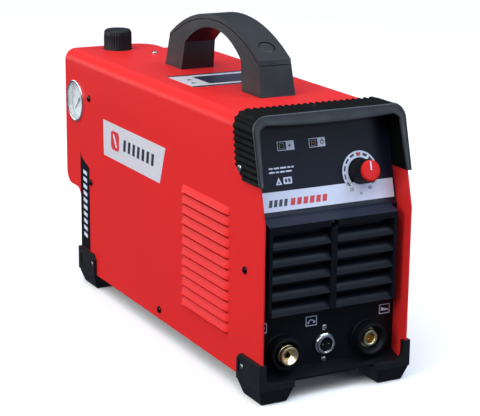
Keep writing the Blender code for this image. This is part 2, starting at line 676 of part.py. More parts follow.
def build_current_knob():
    """The knob's black skirt, its red cap, and the potentiometer shaft that turns with them."""
    spot = on_slope(KNOB_X, KNOB_HEIGHT, 0.0)
    base = 1.3
    split = KNOB_LENGTH - KNOB_CAP
    bore = 3.2
    skirt = [(KNOB_RADIUS - 2.2, split), (KNOB_RADIUS - 0.8, split - 1.5), (KNOB_RADIUS, base),
             (bore, base), (bore, split)]
    finish(turned("current_knob", skirt, spot, PANEL_NORMAL, 20, True), BLACK_PLASTIC)
    red = KNOB_RADIUS - 2.0
    cap = [(0.0, KNOB_LENGTH), (red - 1.0, KNOB_LENGTH), (red, KNOB_LENGTH - 1.0),
           (red, split + GAP), (0.0, split + GAP)]
    finish(turned("current_knob_cap", cap, spot, PANEL_NORMAL, 20), RED)
    shaft = [(0.0, split), (2.9, split), (2.9, -9.0), (0.0, -9.0)]
    finish(turned("control_shaft", shaft, spot, PANEL_NORMAL, 16), ALUMINIUM)
    bush = [(4.0, -3.6), (4.0, -5.2), (8.5, -5.2), (8.5, -14.0), (3.3, -14.0), (3.3, -3.6)]
    finish(turned("potentiometer", bush, spot, PANEL_NORMAL, 20, True), ZINC)


def build_indicators():
    profile = [(0.0, 1.6), (0.9, 1.3), (1.5, 0.4), (1.5, -7.0), (0.0, -7.0)]
    for name, x, look in zip(("led_power", "led_fault"), LED_SPOTS, (GREEN_LED, AMBER_LED)):
        finish(turned(name, profile, on_slope(x, LED_HEIGHT, 0.0), PANEL_NORMAL, 12), look)
    board = slope_plate("control_board", (-66.0, 66.0), (196.0, 268.0), -15.5, 1.6)
    finish(board, GREEN_BOARD)


def build_sockets():
    """Torch socket, two-pin trigger socket and earth socket, all facing the front."""
    out = (0.0, -1.0, 0.0)
    plane = back(PANEL_BACK)
    rim = COLLAR_LENGTH
    bore = 11.0
    inside = -PANEL_WALL - 5.0
    collar = [(14.2, rim), (COLLAR_RADIUS - 1.0, rim), (COLLAR_RADIUS, rim - 1.5), (COLLAR_RADIUS, GAP),
              (COLLAR_BORE, GAP), (COLLAR_BORE, inside), (bore, inside), (bore, 8.0)]
    for name, x in (("torch_socket_collar", -SOCKET_SPREAD), ("earth_socket_collar", SOCKET_SPREAD)):
        finish(turned(name, collar, (x, plane, SOCKET_HEIGHT), out, 20, True), BLACK_PLASTIC)
    fitting = [(6.2, 19.3), (8.6, 19.3), (9.6, 18.2), (9.6, 4.0), (bore - GAP, 3.5), (bore - GAP, -6.0),
               (8.0, -6.0), (8.0, -24.0), (2.8, -24.0), (2.8, 14.0)]
    finish(turned("torch_socket_fitting", fitting, (-SOCKET_SPREAD, plane, SOCKET_HEIGHT), out, 20, True),
           BRASS)
    contact = [(0.0, -14.0), (5.0, -14.0), (5.0, 9.5), (8.4, 9.5), (8.4, 3.0), (bore - GAP, 2.8),
               (bore - GAP, -6.0), (7.5, -6.0), (7.5, -20.0), (0.0, -20.0)]
    finish(turned("earth_socket_contact", contact, (SOCKET_SPREAD, plane, SOCKET_HEIGHT), out, 20), BRASS)
    shell = [(8.2, 5.8), (9.6, 5.8), (10.0, 5.2), (10.0, 2.2), (11.2, 2.0), (11.2, GAP), (8.5, GAP),
             (8.5, -10.0), (7.4, -10.0), (7.4, 1.0), (8.2, 1.0)]
    finish(turned("pilot_socket", shell, (0.0, plane, SOCKET_HEIGHT), out, 20, True), CHROME)
    insert = [(0.0, 2.5), (7.1, 2.5), (7.1, -12.0), (0.0, -12.0)]
    core = turned("pilot_socket_insert", insert, (0.0, plane, SOCKET_HEIGHT), out, 20)
    pins = [rod("pin", (x, plane - 2.5, SOCKET_HEIGHT), out, 0.9, 4.0, 8) for x in (-3.5, 3.5)]
    fuse(core, gather("pilot_pins", pins))
    finish(core, BLACK_PLASTIC)


# ---------------------------------------------------------------- rear

def build_gauge():
    out = (-1.0, 0.0, 0.0)
    centre = (-HALF, back(GAUGE_BACK), GAUGE_HEIGHT)
    body = GAUGE_RADIUS - 1.8
    stem_end = REGULATOR_X - REGULATOR_HALF - GAP + HALF
    case = [(0.0, -18.0), (body - 1.2, -18.0), (body - 1.2, -1.0), (GAUGE_RADIUS - 2.6, 2.0),
            (GAUGE_RADIUS - 0.6, 2.0), (GAUGE_RADIUS, 1.4), (GAUGE_RADIUS, GAP), (body, GAP),
            (body, -20.0), (6.0, -22.0), (6.0, -stem_end), (0.0, -stem_end)]
    finish(turned("gauge_case", case, centre, out, 24), CHROME)
    dial = [(0.0, -5.0), (body - 1.6, -5.0), (body - 1.6, -6.0), (0.0, -6.0)]
    finish(turned("gauge_dial", dial, centre, out, 20), WHITE)
    lens = [(0.0, 1.2), (body - 1.6, 1.2), (body - 1.6, -0.4), (0.0, -0.4)]
    finish(turned("gauge_lens", lens, centre, out, 20), CLEAR)
    hub = rod("gauge_needle", (centre[0] + 4.0, centre[1], centre[2]), out, 2.2, 1.0, 12)
    angle = math.radians(-45.0)
    tip = Vector((0.0, math.cos(angle), math.sin(angle)))
    side = Vector((0.0, -tip.z, tip.y))
    outline = [tip * -5.0 + side * 0.9, tip * -5.0 - side * 0.9, tip * 16.5 - side * 0.3,
               tip * 16.5 + side * 0.3]
    points = [(centre[1] + p.y, centre[2] + p.z) for p in outline]
    fuse(hub, prism("needle_arm", points, "X", centre[0] + 3.7, centre[0] + 4.3))
    centre_on(hub, centre)
    finish(hub, BLACK_METAL)


def centre_on(obj, point):
    """Put an object's origin on its joint axis without moving its shape."""
    offset = Vector(point) * MM
    obj.data.transform(Matrix.Translation(-offset))
    obj.location = offset


def build_regulator():
    x, y = REGULATOR_X, back(REGULATOR_BACK)
    half = REGULATOR_HALF
    body = block("regulator_body", (x - half, x + half), (y - half, y + half), (207.0, 247.0))
    fuse(body, rod("bonnet", (x, y, 259.0), (0, 0, 1), 15.5, 30.0, 24))
    fuse(body, rod("bowl_boss", (x, y, 202.0), (0, 0, 1), 13.4, 14.0, 20))
    outlet_front = back(REAR_BACK - 16.0)
    outlet_middle = (x, (outlet_front + y) / 2.0, PORT_HEIGHT)
    fuse(body, rod("outlet", outlet_middle, (0, 1, 0), 7.0, y - outlet_front, 16))
    finish(body, ALUMINIUM)
    spindle = [(0.0, 298.0), (4.0, 298.0), (4.0, 274.3), (0.0, 274.3)]
    finish(turned("regulator_spindle", spindle, (x, y, 0.0), (0, 0, 1), 16), ZINC)
    r = REGULATOR_KNOB_RADIUS
    top = REGULATOR_KNOB_TOP
    knob = [(0.0, top), (r - 2.6, top), (r - 0.9, top - 1.6), (r, 277.0), (r - 3.4, 277.0),
            (r - 3.4, 290.0), (4.3, 290.0), (4.3, 299.0), (0.0, 299.0)]
    finish(turned("regulator_knob", knob, (x, y, 0.0), (0, 0, 1), 24), BLACK_PLASTIC)
    r = BOWL_RADIUS
    bowl = [(r, 206.7), (r, 152.0), (r - 3.0, 144.0), (r - 9.0, 140.0), (3.1, 140.0), (3.1, 143.0),
            (r - 9.5, 143.0), (r - 5.6, 146.5), (r - 3.2, 153.0), (r - 3.2, 206.7)]
    finish(turned("filter_bowl", bowl, (x, y, 0.0), (0, 0, 1), 20, True), CLEAR)
    valve = [(0.0, 147.0), (2.7, 147.0), (2.7, 136.3), (5.5, 136.3), (5.5, 129.0), (3.6, 127.0),
             (0.0, 127.0)]
    finish(turned("drain_valve", valve, (x, y, 0.0), (0, 0, 1), 16), BRASS)
    inlet = [(0.0, 3.0), (4.2, 3.0), (4.2, 10.0), (5.6, 10.0), (6.0, 9.4), (6.0, 7.0), (7.8, 6.6),
             (7.8, GAP), (0.0, GAP)]
    finish(turned("air_inlet", inlet, (x, y + half, PORT_HEIGHT), (0, 1, 0), 14), BRASS)


def build_gland_and_switch():
    rear = back(REAR_BACK)
    gland = [(6.0, 17.0), (8.5, 17.0), (11.0, 12.0), (12.5, 11.0), (12.5, GAP), (10.0, GAP),
             (10.0, -12.0), (6.0, -12.0)]
    spot = (SWITCH_X, rear, GLAND_HEIGHT)
    finish(turned("cord_gland", gland, spot, (0, 1, 0), 16, True), BLACK_PLASTIC)
    x, z = SWITCH_X, SWITCH_HEIGHT

    def centred(name, half_width, half_height, low, high):
        return block(name, (x - half_width, x + half_width), (low, high),
                     (z - half_height, z + half_height))

    housing = centred("switch_housing", 15.0, 12.0, rear - 20.0, rear + 1.5)
    fuse(housing, centred("switch_bezel", 17.0, 14.0, rear + GAP, rear + 2.3))
    cut(housing, centred("switch_well", 12.0, 10.0, rear - 12.0, rear + 5.0))
    finish(housing, BLACK_PLASTIC)
    pivot = Vector((x, rear - 6.0, z))
    tilt = math.radians(-9.0)
    outline = []
    for u, v in ((-4.0, -7.5), (-4.0, 7.5), (6.5, 8.2), (5.0, 0.0), (6.5, -8.2)):
        outline.append((pivot.y + u * math.cos(tilt) - v * math.sin(tilt),
                        pivot.z + u * math.sin(tilt) + v * math.cos(tilt)))
    rocker = prism("switch_rocker", outline, "X", x - 11.5, x + 11.5)
    centre_on(rocker, pivot)
    finish(rocker, BLACK_PLASTIC)


def build_fan():
    front, rear = back(REAR_BACK - 29.0), back(REAR_BACK - 4.0)
    x, z = FAN_X, FAN_HEIGHT
    frame = block("fan_frame", (x - FAN_HALF, x + FAN_HALF), (front, rear), (z - FAN_HALF, z + FAN_HALF))
    cut(frame, rod("fan_bore", (x, (front + rear) / 2.0, z), (0, 1, 0), 44.0, 40.0, 24))
    for i in range(2):
        size = (45.0, 2.0) if i else (2.0, 45.0)
        fuse(frame, block("fan_strut", (x - size[0], x + size[0]), (rear - 4.0, rear - 1.0),
                          (z - size[1], z + size[1])))
    fuse(frame, rod("fan_motor_seat", (x, rear - 3.0, z), (0, 1, 0), 17.0, 4.4, 20))
    finish(frame, BLACK_PLASTIC)
    rotor = rod("fan_rotor", (x, front + 9.5, z), (0, 1, 0), 17.5, 17.0, 20)
    blades = []
    for i in range(7):
        blade = block("blade", (x - 1.0, x + 1.0), (front + 2.5, front + 16.5), (z + 15.0, z + 42.0))
        spin = Matrix.Rotation(math.tau * i / 7, 4, "Y")
        pitch = Matrix.Rotation(math.radians(35.0), 4, "Z")
        hub = Matrix.Translation(Vector((x, front + 9.5, z)) * MM)
        blade.data.transform(hub @ spin @ pitch @ hub.inverted())
        blades.append(blade)
    for i, blade in enumerate(blades):
        blade.name = f"fan_blade_{i}"
        fuse(rotor, blade)
    centre_on(rotor, (x, front + 9.5, z))
    finish(rotor, BLACK_PLASTIC)


# ---------------------------------------------------------------- inside

def build_power_parts():
    board = block("power_board", (-2.6, -1.0), (back(95.0), back(400.0)), (60.0, 235.0))
    finish(board, GREEN_BOARD)
    sink = block("heatsink", (0.0, 45.0), (back(190.0), back(370.0)), (140.0, 225.0))
    channels = []
    for i in range(9):
        z = 143.0 + 9.1 * i
        channels.append(block("fin_gap", (6.0, 50.0), (back(180.0), back(380.0)), (z, z + 6.2)))
    cut(sink, gather("fin_gaps", channels))
    finish(sink, ALUMINIUM)
    x0, x1, y0, y1 = 2.0, 52.0, back(240.0), back(305.0)
    core = block("transformer", (x0, x1), (y0, y1), (42.0, 92.0))
    windows = [block("core_window", (x0 - REACH, x1 + REACH), (y0 + 10.0, y0 + 24.0), (52.0, 82.0)),
               block("core_window", (x0 - REACH, x1 + REACH), (y1 - 24.0, y1 - 10.0), (52.0, 82.0))]
    cut(core, gather("core_windows", windows))
    middle = (y0 + y1) / 2.0
    winding = block("winding", (x0 - 1.5, x1 + 1.5), (middle - 21.0, middle + 21.0), (53.0, 81.0))
    finish(fuse(core, winding), FERRITE)
    ring = [(28.0, 26.0), (28.0, 0.0), (13.0, 0.0), (13.0, 26.0)]
    finish(turned("output_choke", ring, (32.0, back(185.0), 24.0), (0, 0, 1), 24, True), COPPER)


def build_air_parts():
    x, y, z = -45.0, back(330.0), 60.0
    valve = block("air_valve", (x - 16.0, x + 16.0), (y - 16.0, y + 16.0), (z - 12.0, z + 12.0))
    fuse(valve, rod("valve_coil", (x, y, z + 30.0), (0, 0, 1), 14.0, 40.0, 20))
    fuse(valve, rod("valve_ports", (x, y, z), (0, 1, 0), 6.0, 50.0, 16))
    finish(valve, BRASS)
    torch_end = (-SOCKET_SPREAD, back(PANEL_BACK + 24.6), SOCKET_HEIGHT)
    build_hose("torch_hose", (x, y - 25.6, z), torch_end, 70.0)
    outlet_end = (REGULATOR_X, back(REAR_BACK - 17.4), PORT_HEIGHT)
    build_hose("supply_hose", outlet_end, (x, y + 26.4, z), 45.0)


def build_hose(name, start, end, pull):
    """A round hose that leaves one fitting forwards and reaches the next from behind."""
    curve = bpy.data.curves.new(name, "CURVE")
    curve.dimensions = "3D"
    curve.bevel_depth = 4.5 * MM
    curve.bevel_resolution = 2
    curve.use_fill_caps = True
    ahead = Vector((0.0, -pull, 0.0))
    handles = (Vector(start), Vector(start) + ahead, Vector(end) - ahead, Vector(end))
    steps = 16
    spline = curve.splines.new("POLY")
    spline.points.add(steps)
    for i, point in enumerate(spline.points):
        t = i / steps
        weights = ((1 - t) ** 3, 3 * t * (1 - t) ** 2, 3 * t ** 2 * (1 - t), t ** 3)
        spot = sum((handle * weight for handle, weight in zip(handles, weights)), Vector())
        point.co = (*(spot * MM), 1.0)
    hose = bpy.data.objects.new(name, curve)
    PARTS.objects.link(hose)
    finish(hose, BLACK_RUBBER)


# ---------------------------------------------------------------- fasteners

def build_screw(name, seat, out, length=8.0, look=ZINC):
    """A pan-head screw; seat is the point under its head."""
    profile = [(0.0, 2.4), (2.4, 2.2), (3.7, 1.2), (3.9, GAP), (2.0, GAP), (2.0, GAP - length),
               (0.0, GAP - length)]
    finish(turned(name, profile, seat, out, 12), look)


def build_screws():
    for side, word in ((-1, "left"), (1, "right")):
        out = (side, 0.0, 0.0)
        for i, (distance, height) in enumerate(SIDE_SCREWS, 1):
            build_screw(f"cover_screw_{word}_{i}", (side * HALF, back(distance), height), out)
        y, z = HOOD_SCREW
        build_screw(f"hood_screw_{word}", (side * (HOOD_HALF - HOOD_SEAT), back(y), z), out, 7.0)
    up = (0.0, 0.0, 1.0)
    build_screw("cover_screw_top", (0.0, back(COVER_TOP_SCREW_BACK), CASE_TOP), up)
    build_screw("hood_screw_top", (0.0, back(HOOD_TOP_SCREW_BACK), TOP_SEAT_HEIGHT), up, 5.0)


def main():
    global PARTS, CUTTERS
    clear_scene()
    PARTS = new_collection("plasma_cutter")
    CUTTERS = new_collection("cutters")
    build_base_pan()
    build_cover()
    build_rear_panel()
    build_hood()
    for end, end_word in ((-1, "front"), (1, "rear")):
        for side, side_word in ((-1, "left"), (1, "right")):
            build_foot(f"foot_{end_word}_{side_word}", side, end)
    build_handle()
    build_front_panel()
    build_control_overlay()
    build_current_knob()
    build_indicators()
    build_sockets()
    build_gauge()
    build_regulator()
    build_gland_and_switch()
    build_fan()
    build_power_parts()
    build_air_parts()
    build_screws()


main()
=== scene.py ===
"""Finished look of the plasma cutter unit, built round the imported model.

Lengths in the constants and helper calls are in millimetres, and meshes are made in metres.
The camera and the lights are placed in metres.
"back" is a distance measured rearwards from the cover's front edge.
"""
import math

import bmesh
import bpy
from mathutils import Matrix, Vector


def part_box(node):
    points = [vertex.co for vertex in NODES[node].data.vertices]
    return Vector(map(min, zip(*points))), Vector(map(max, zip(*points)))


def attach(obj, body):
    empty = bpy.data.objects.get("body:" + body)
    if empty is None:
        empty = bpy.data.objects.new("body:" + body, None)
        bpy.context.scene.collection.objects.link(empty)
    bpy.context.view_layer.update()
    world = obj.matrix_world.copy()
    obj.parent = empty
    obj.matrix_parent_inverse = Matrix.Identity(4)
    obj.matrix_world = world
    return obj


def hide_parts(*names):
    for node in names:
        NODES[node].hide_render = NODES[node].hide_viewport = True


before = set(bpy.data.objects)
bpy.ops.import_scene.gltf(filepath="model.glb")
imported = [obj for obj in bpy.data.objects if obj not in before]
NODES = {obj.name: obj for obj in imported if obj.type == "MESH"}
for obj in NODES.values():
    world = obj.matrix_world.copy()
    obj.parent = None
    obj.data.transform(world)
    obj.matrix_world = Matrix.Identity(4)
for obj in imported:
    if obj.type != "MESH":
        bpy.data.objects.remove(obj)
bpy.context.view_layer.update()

MM = 0.001
FRONT_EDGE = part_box("cover")[0].y / MM
SIDES = ((-1, "left"), (1, "right"))

HALF = 84.0
CASE_TOP = 280.0
CASE_BOTTOM = 18.5
CASE_DEPTH = 458.0
GUARD_DEPTH = 501.5  # of the rear guard round the gauge and the regulator
SHEET = 1.5
BEND = 13.6
KINK_HEIGHT = 184.0  # the cover's front edge leans back above this height
SLOPE = 0.27
SHELF_HEIGHT = 187.0
PANEL_BACK = 24.0
GRILLE_BACK = 8.5
REAR_BACK = 440.0
PANEL_NORMAL = Vector((0.0, -1.0, SLOPE)).normalized()

SIDE_SCREWS = ((428.0, 231.4), (425.0, 130.4), (234.6, 29.5), (37.3, 130.6))
HOOD_SCREW = (47.5, 231.0)
TOP_SCREW_BACKS = (54.0, 426.0)
SOCKET_X = 50.0
KNOB_X = 42.6
KNOB_HEIGHT = 217.0
KNOB_LENGTH = 22.5
INK = 0.1  # thickness of a print


# ---------------------------------------------------------------- geometry helpers

def back(distance):
    return FRONT_EDGE + distance


def middle(node):
    """Centre of a CAD node's box, in millimetres."""
    low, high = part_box(node)
    return (low + high) / 2.0 / MM


def slope_back(height):
    return 26.0 + SLOPE * (height - SHELF_HEIGHT)


def on_slope(x, height, out):
    """A point this far in front of the inclined control face."""
    return Vector((x, back(slope_back(height)), height)) + PANEL_NORMAL * out


def on_left(distance, height, out):
    return Vector((-HALF - out, back(distance), height))


def on_right(distance, height, out):
    return Vector((HALF + out, back(distance), height))


def on_top(x, distance, out):
    return Vector((x, back(distance), CASE_TOP + out))


def on_socket_face(x, height, out):
    return Vector((x, back(PANEL_BACK - out), height))


def arc(centre, radius, start, end, steps):
    """Points along an arc; the angles are in degrees."""
    points = []
    for i in range(steps + 1):
        angle = math.radians(start + (end - start) * i / steps)
        points.append((centre[0] + radius * math.cos(angle), centre[1] + radius * math.sin(angle)))
    return points


def bow_radius(half_chord, rise):
    return (half_chord ** 2 + rise ** 2) / (2.0 * rise)


def bow(half_chord, low, apex, centre, steps):
    """Points along an arch, from its front foot to its rear foot."""
    radius = bow_radius(half_chord, apex - low)
    span = math.degrees(math.asin(half_chord / radius))
    return arc((centre, apex - radius), radius, 90.0 + span, 90.0 - span, steps)


def arch_section(half, top, low, radius):
    """Outline of a folded sheet: two legs and a flat top with rounded bends."""
    steps = 12
    return ([(-half, low)]
            + arc((-half + radius, top - radius), radius, 180.0, 90.0, steps)
            + arc((half - radius, top - radius), radius, 90.0, 0.0, steps)
            + [(half, low)])


def rectangle(u0, u1, v0, v1):
    return [(u0, v0), (u1, v0), (u1, v1), (u0, v1)]


def across(side, a, b):
    """Two distances from the middle, on one side, lowest first."""
    return sorted((side * a, side * b))


def bars(u0, u1, v0, v1, line, right=None):
    """The four bars of a frame; the right one may be wider."""
    return [rectangle(u0, u1, v0, v0 + line), rectangle(u0, u1, v1 - line, v1),
            rectangle(u0, u0 + line, v0 + line, v1 - line),
            rectangle(u1 - (right or line), u1, v0 + line, v1 - line)]


def rounded(u0, u1, v0, v1, radius, steps=4):
    """A rectangle's outline with rounded corners."""
    return (arc((u1 - radius, v0 + radius), radius, -90.0, 0.0, steps)
            + arc((u1 - radius, v1 - radius), radius, 0.0, 90.0, steps)
            + arc((u0 + radius, v1 - radius), radius, 90.0, 180.0, steps)
            + arc((u0 + radius, v0 + radius), radius, 180.0, 270.0, steps))


def band(centre, inner, outer, start, end, steps):
    """Outline of a ring's sector."""
    return arc(centre, outer, start, end, steps) + arc(centre, inner, end, start, steps)


def to_mesh(bm, name):
    bmesh.ops.recalc_face_normals(bm, faces=bm.faces)
    bmesh.ops.scale(bm, vec=(MM, MM, MM), verts=bm.verts)
    mesh = bpy.data.meshes.new(name)
    bm.to_mesh(mesh)
    bm.free()
    return mesh


def link_object(name, data):
    obj = bpy.data.objects.new(name, data)
    bpy.context.scene.collection.objects.link(obj)
    return obj


def loose(bm, name="shape"):
    """A mesh object in the scene that isn't a finished piece yet."""
    return link_object(name, to_mesh(bm, name))


def stack_into(bm, outlines):
    """A solid through a stack of outlines that have the same number of points."""
    rings = [[bm.verts.new(point) for point in outline] for outline in outlines]
    bm.faces.new(rings[0])
    bm.faces.new(rings[-1][::-1])
    count = len(rings[0])
    for low, high in zip(rings, rings[1:]):
        for i in range(count):
            j = (i + 1) % count
            bm.faces.new((low[j], low[i], high[i], high[j]))


def skin_into(bm, rows):
    """Faces between neighbouring rows of vertices."""
    for a, b in zip(rows, rows[1:]):
        for i in range(len(a) - 1):
            bm.faces.new((a[i], b[i], b[i + 1], a[i + 1]))


def prisms(outlines, axis, low, high):
    """Flat outlines pushed along an axis, as one object."""
    def spot(u, v, w):
        return {"X": (w, u, v), "Y": (u, w, v), "Z": (u, v, w)}[axis]

    bm = bmesh.new()
    for outline in outlines:
        stack_into(bm, [[spot(u, v, w) for u, v in outline] for w in (low, high)])
    return loose(bm)


def prism(outline, axis, low, high):
    return prisms([outline], axis, low, high)


def block(x, y, z):
    return prism(rectangle(*x, *y), "Z", *z)


def turned_into(bm, profile, centre, direction, steps, closed=False, flutes=0, depth=0.0):
    """(radius, height, flute weight) points, spun about an axis."""
    turn = Vector(direction).to_track_quat("Z", "Y").to_matrix()
    centre = Vector(centre)
    rings = []
    for radius, height, *weight in profile:
        share = weight[0] if weight else 0.0
        ring = []
        for i in range(steps if radius > 0.0 else 1):
            angle = math.tau * i / steps
            r = radius - share * depth * (0.5 - 0.5 * math.cos(flutes * angle))
            spot = Vector((r * math.cos(angle), r * math.sin(angle), height))
            ring.append(bm.verts.new(centre + turn @ spot))
        rings.append(ring)
    pairs = list(zip(rings, rings[1:]))
    if closed:
        pairs.append((rings[-1], rings[0]))
    for a, b in pairs:
        for i in range(steps):
            corners = [a[i % len(a)], a[(i + 1) % len(a)], b[(i + 1) % len(b)], b[i % len(b)]]
            corners = list(dict.fromkeys(corners))
            if len(corners) > 2:
                bm.faces.new(corners)


def turned(profile, centre, direction, steps, closed=False, flutes=0, depth=0.0):
    bm = bmesh.new()
    turned_into(bm, profile, centre, direction, steps, closed, flutes, depth)
    return loose(bm)


def rod(centre, direction, radius, length, steps=40):
    half = length / 2.0
    return turned([(0.0, half), (radius, half), (radius, -half), (0.0, -half)], centre, direction, steps)


def carve(target, *others, operation="DIFFERENCE"):
    """Apply Booleans to a shape and remove the others."""
    for other in others:
        modifier = target.modifiers.new("carve", "BOOLEAN")
        modifier.operation = operation
        modifier.solver = "EXACT"
        modifier.object = other
    graph = bpy.context.evaluated_depsgraph_get()
    made = bpy.data.meshes.new_from_object(target.evaluated_get(graph))
    target.modifiers.clear()
    target.data = made
    for other in others:
        bpy.data.objects.remove(other)
    return target


def join(target, other):
    carve(target, other, operation="UNION")


def merge(*objs):
    """Put several shapes into one object, side by side."""
    bm = bmesh.new()
    for obj in objs:
        bm.from_mesh(obj.data)
        bpy.data.objects.remove(obj)
    mesh = bpy.data.meshes.new("shape")
    bm.to_mesh(mesh)
    bm.free()
    return link_object("shape", mesh)


def face_outwards(obj):
    """All faces turned to the outside of the shape."""
    bm = bmesh.new()
    bm.from_mesh(obj.data)
    bmesh.ops.remove_doubles(bm, verts=bm.verts, dist=0.002 * MM)
    bmesh.ops.recalc_face_normals(bm, faces=bm.faces)
    bm.to_mesh(obj.data)
    bm.free()
    obj.data.validate()


def soften(obj, width, segments=3, angle=35.0):
    """Smooth shading between sharp edges, and rounded edges where a width is given."""
    obj.data.shade_smooth()
    obj.data.set_sharp_from_angle(angle=math.radians(angle))
    if width:
        edge = obj.modifiers.new("edge", "BEVEL")
        edge.width = width * MM
        edge.segments = segments
        edge.limit_method = "ANGLE"
        edge.angle_limit = math.radians(angle)
        edge.use_clamp_overlap = True
        edge.harden_normals = True


def dress(obj, look):
    """One material in place of those that the object had."""
    obj.data.materials.clear()
    obj.data.materials.append(look)


def piece(obj, name, look, node=None, body="case", bevel=0.0, angle=35.0):
    """Finish a shape: name, material, edges, the CAD body it moves with, the node it stands for."""
    obj.name = name
    obj.data.name = name
    dress(obj, look)
    soften(obj, bevel, angle=angle)
    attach(obj, body)
    if node:
        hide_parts(node)


def second_look(obj, look, chosen):
    """Another material on the faces that pass a test."""
    obj.data.materials.append(look)
    for face in obj.data.polygons:
        face.material_index = 1 if chosen(face) else 0


def decal(name, outlines, place, lift, look, body="case", thickness=INK):
    """Printed shapes, each an outline of (u, v) points, laid on a surface."""
    bm = bmesh.new()
    for outline in outlines:
        stack_into(bm, [[place(u, v, w) for u, v in outline] for w in (lift - thickness, lift)])
    piece(loose(bm), name, look, body=body)


def figures(name, entries, place, lift):
    """Plain figures on a scale: (text, size, u, v) entries, centred on their spots."""
    bm = bmesh.new()
    for text, size, u, v in entries:
        curve = bpy.data.curves.new(name, "FONT")
        curve.body = text
        curve.size = size
        curve.align_x = "CENTER"
        curve.align_y = "CENTER"
        source = link_object(name, curve)
        graph = bpy.context.evaluated_depsgraph_get()
        flat = bpy.data.meshes.new_from_object(source.evaluated_get(graph))
        bpy.data.objects.remove(source)
        start = len(bm.verts)
        bm.from_mesh(flat)
        bm.verts.ensure_lookup_table()
        bmesh.ops.remove_doubles(bm, verts=bm.verts[start:], dist=0.001)
        bm.verts.ensure_lookup_table()
        for vert in bm.verts[start:]:
            vert.co = place(u + vert.co.x, v + vert.co.y, lift)
        bpy.data.meshes.remove(flat)
    normal = (place(0, 0, 1) - place(0, 0, 0)).normalized()
    made = bmesh.ops.extrude_face_region(bm, geom=bm.faces[:])
    moved = [item for item in made["geom"] if isinstance(item, bmesh.types.BMVert)]
    bmesh.ops.translate(bm, vec=normal * INK, verts=moved)
    piece(loose(bm), name, DARK_INK)


# ---------------------------------------------------------------- materials

def add_node(tree, kind, **values):
    """A shader node with some of its sockets set."""
    node = tree.nodes.new(f"ShaderNode{kind}")
    for socket, value in values.items():
        node.inputs[socket.replace("_", " ")].default_value = value
    return node


class Look:
    """A procedural material under construction."""

    def __init__(self, name, roughness, metallic=0.0, specular=0.5, **values):
        self.material = bpy.data.materials.new(name)
        self.material.use_nodes = True
        self.tree = self.material.node_tree
        self.shader = self.tree.nodes["Principled BSDF"]
        values.update(Roughness=roughness, Metallic=metallic, Specular_IOR_Level=specular)
        for socket, value in values.items():
            self.shader.inputs[socket.replace("_", " ")].default_value = value
        self.coords = add_node(self.tree, "TexCoord").outputs["Object"]

    def link(self, out, into):
        self.tree.links.new(out, into)

    def mapped(self, kind, vector=None, **values):
        """A node laid over the object by its own coordinates or by a given vector."""
        node = add_node(self.tree, kind, **values)
        self.link(vector or self.coords, node.inputs["Vector"])
        return node.outputs

    def noise(self, scale, detail=3.0, roughness=0.5, vector=None):
        return self.mapped("TexNoise", vector, Scale=scale, Detail=detail, Roughness=roughness)["Fac"]

    def ramp(self, value, *stops):
        node = add_node(self.tree, "ValToRGB")
        for element, (position, colour) in zip(node.color_ramp.elements, stops):
            element.position = position
            element.color = (*colour, 1.0)
        self.link(value, node.inputs["Fac"])
        return node.outputs["Color"]

    def colour(self, value, base, vary):
        """Base colour that wanders by a share of itself."""
        dark = tuple(c * (1.0 - vary) for c in base)
        light = tuple(min(1.0, c * (1.0 + vary)) for c in base)
        self.link(self.ramp(value, (0.3, dark), (0.7, light)), self.shader.inputs["Base Color"])

    def dull(self, value, low, high):
        """Roughness that follows a noise value's middle range."""
        node = add_node(self.tree, "MapRange", From_Min=0.3, From_Max=0.7, To_Min=low, To_Max=high)
        self.link(value, node.inputs["Value"])
        self.link(node.outputs["Result"], self.shader.inputs["Roughness"])

    def relief(self, *layers):
        """Bump layers: (height, depth in millimetres)."""
        below = None
        for height, depth in layers:
            node = add_node(self.tree, "Bump", Distance=depth * MM)
            self.link(height, node.inputs["Height"])
            if below:
                self.link(below, node.inputs["Normal"])
            below = node.outputs["Normal"]
        self.link(below, self.shader.inputs["Normal"])


def powder_coat(name, base):
    """Powder coat: a very faint orange peel on a satin film."""
    look = Look(name, 0.36, specular=0.07)
    look.colour(look.noise(8.0, 3.0), base, 0.02)
    look.dull(look.noise(30.0, 2.0), 0.34, 0.38)
    look.relief((look.noise(700.0, 2.0), 0.0008))
    return look.material


def moulded(name, base, roughness, grain, depth, vary=0.12, specular=0.5):
    """Moulded plastic or rubber with a fine eroded grain and slightly scuffed patches."""
    look = Look(name, roughness, specular=specular)
    look.colour(look.noise(26.0, 5.0, 0.6), base, vary)
    look.dull(look.noise(38.0, 5.0, 0.65), roughness - 0.07, roughness + 0.09)
    cells = look.mapped("TexVoronoi", Scale=grain)["Distance"]
    look.relief((cells, depth), (look.noise(grain * 2.2, 2.0), depth * 0.35))
    return look.material


def metal(name, base, roughness, brush, scale=700.0, depth=0.004, vary=0.06):
    """Bare or plated metal with fine tool marks along one direction."""
    look = Look(name, roughness, 1.0)
    marks = look.noise(scale, 4.0, 0.6, look.mapped("Mapping", Scale=brush)["Vector"])
    look.colour(look.noise(55.0, 4.0), base, vary)
    look.dull(marks, max(0.04, roughness - 0.06), roughness + 0.07)
    look.relief((marks, depth))
    return look.material


def printed(name, base, roughness=0.38, specular=0.5):
    """Screen-printed ink or film, with a slight unevenness."""
    look = Look(name, roughness, specular=specular)
    look.colour(look.noise(130.0, 3.0), base, 0.03)
    look.dull(look.noise(400.0, 2.0), roughness - 0.02, roughness + 0.02)
    look.relief((look.noise(600.0, 2.0), 0.0004))
    return look.material


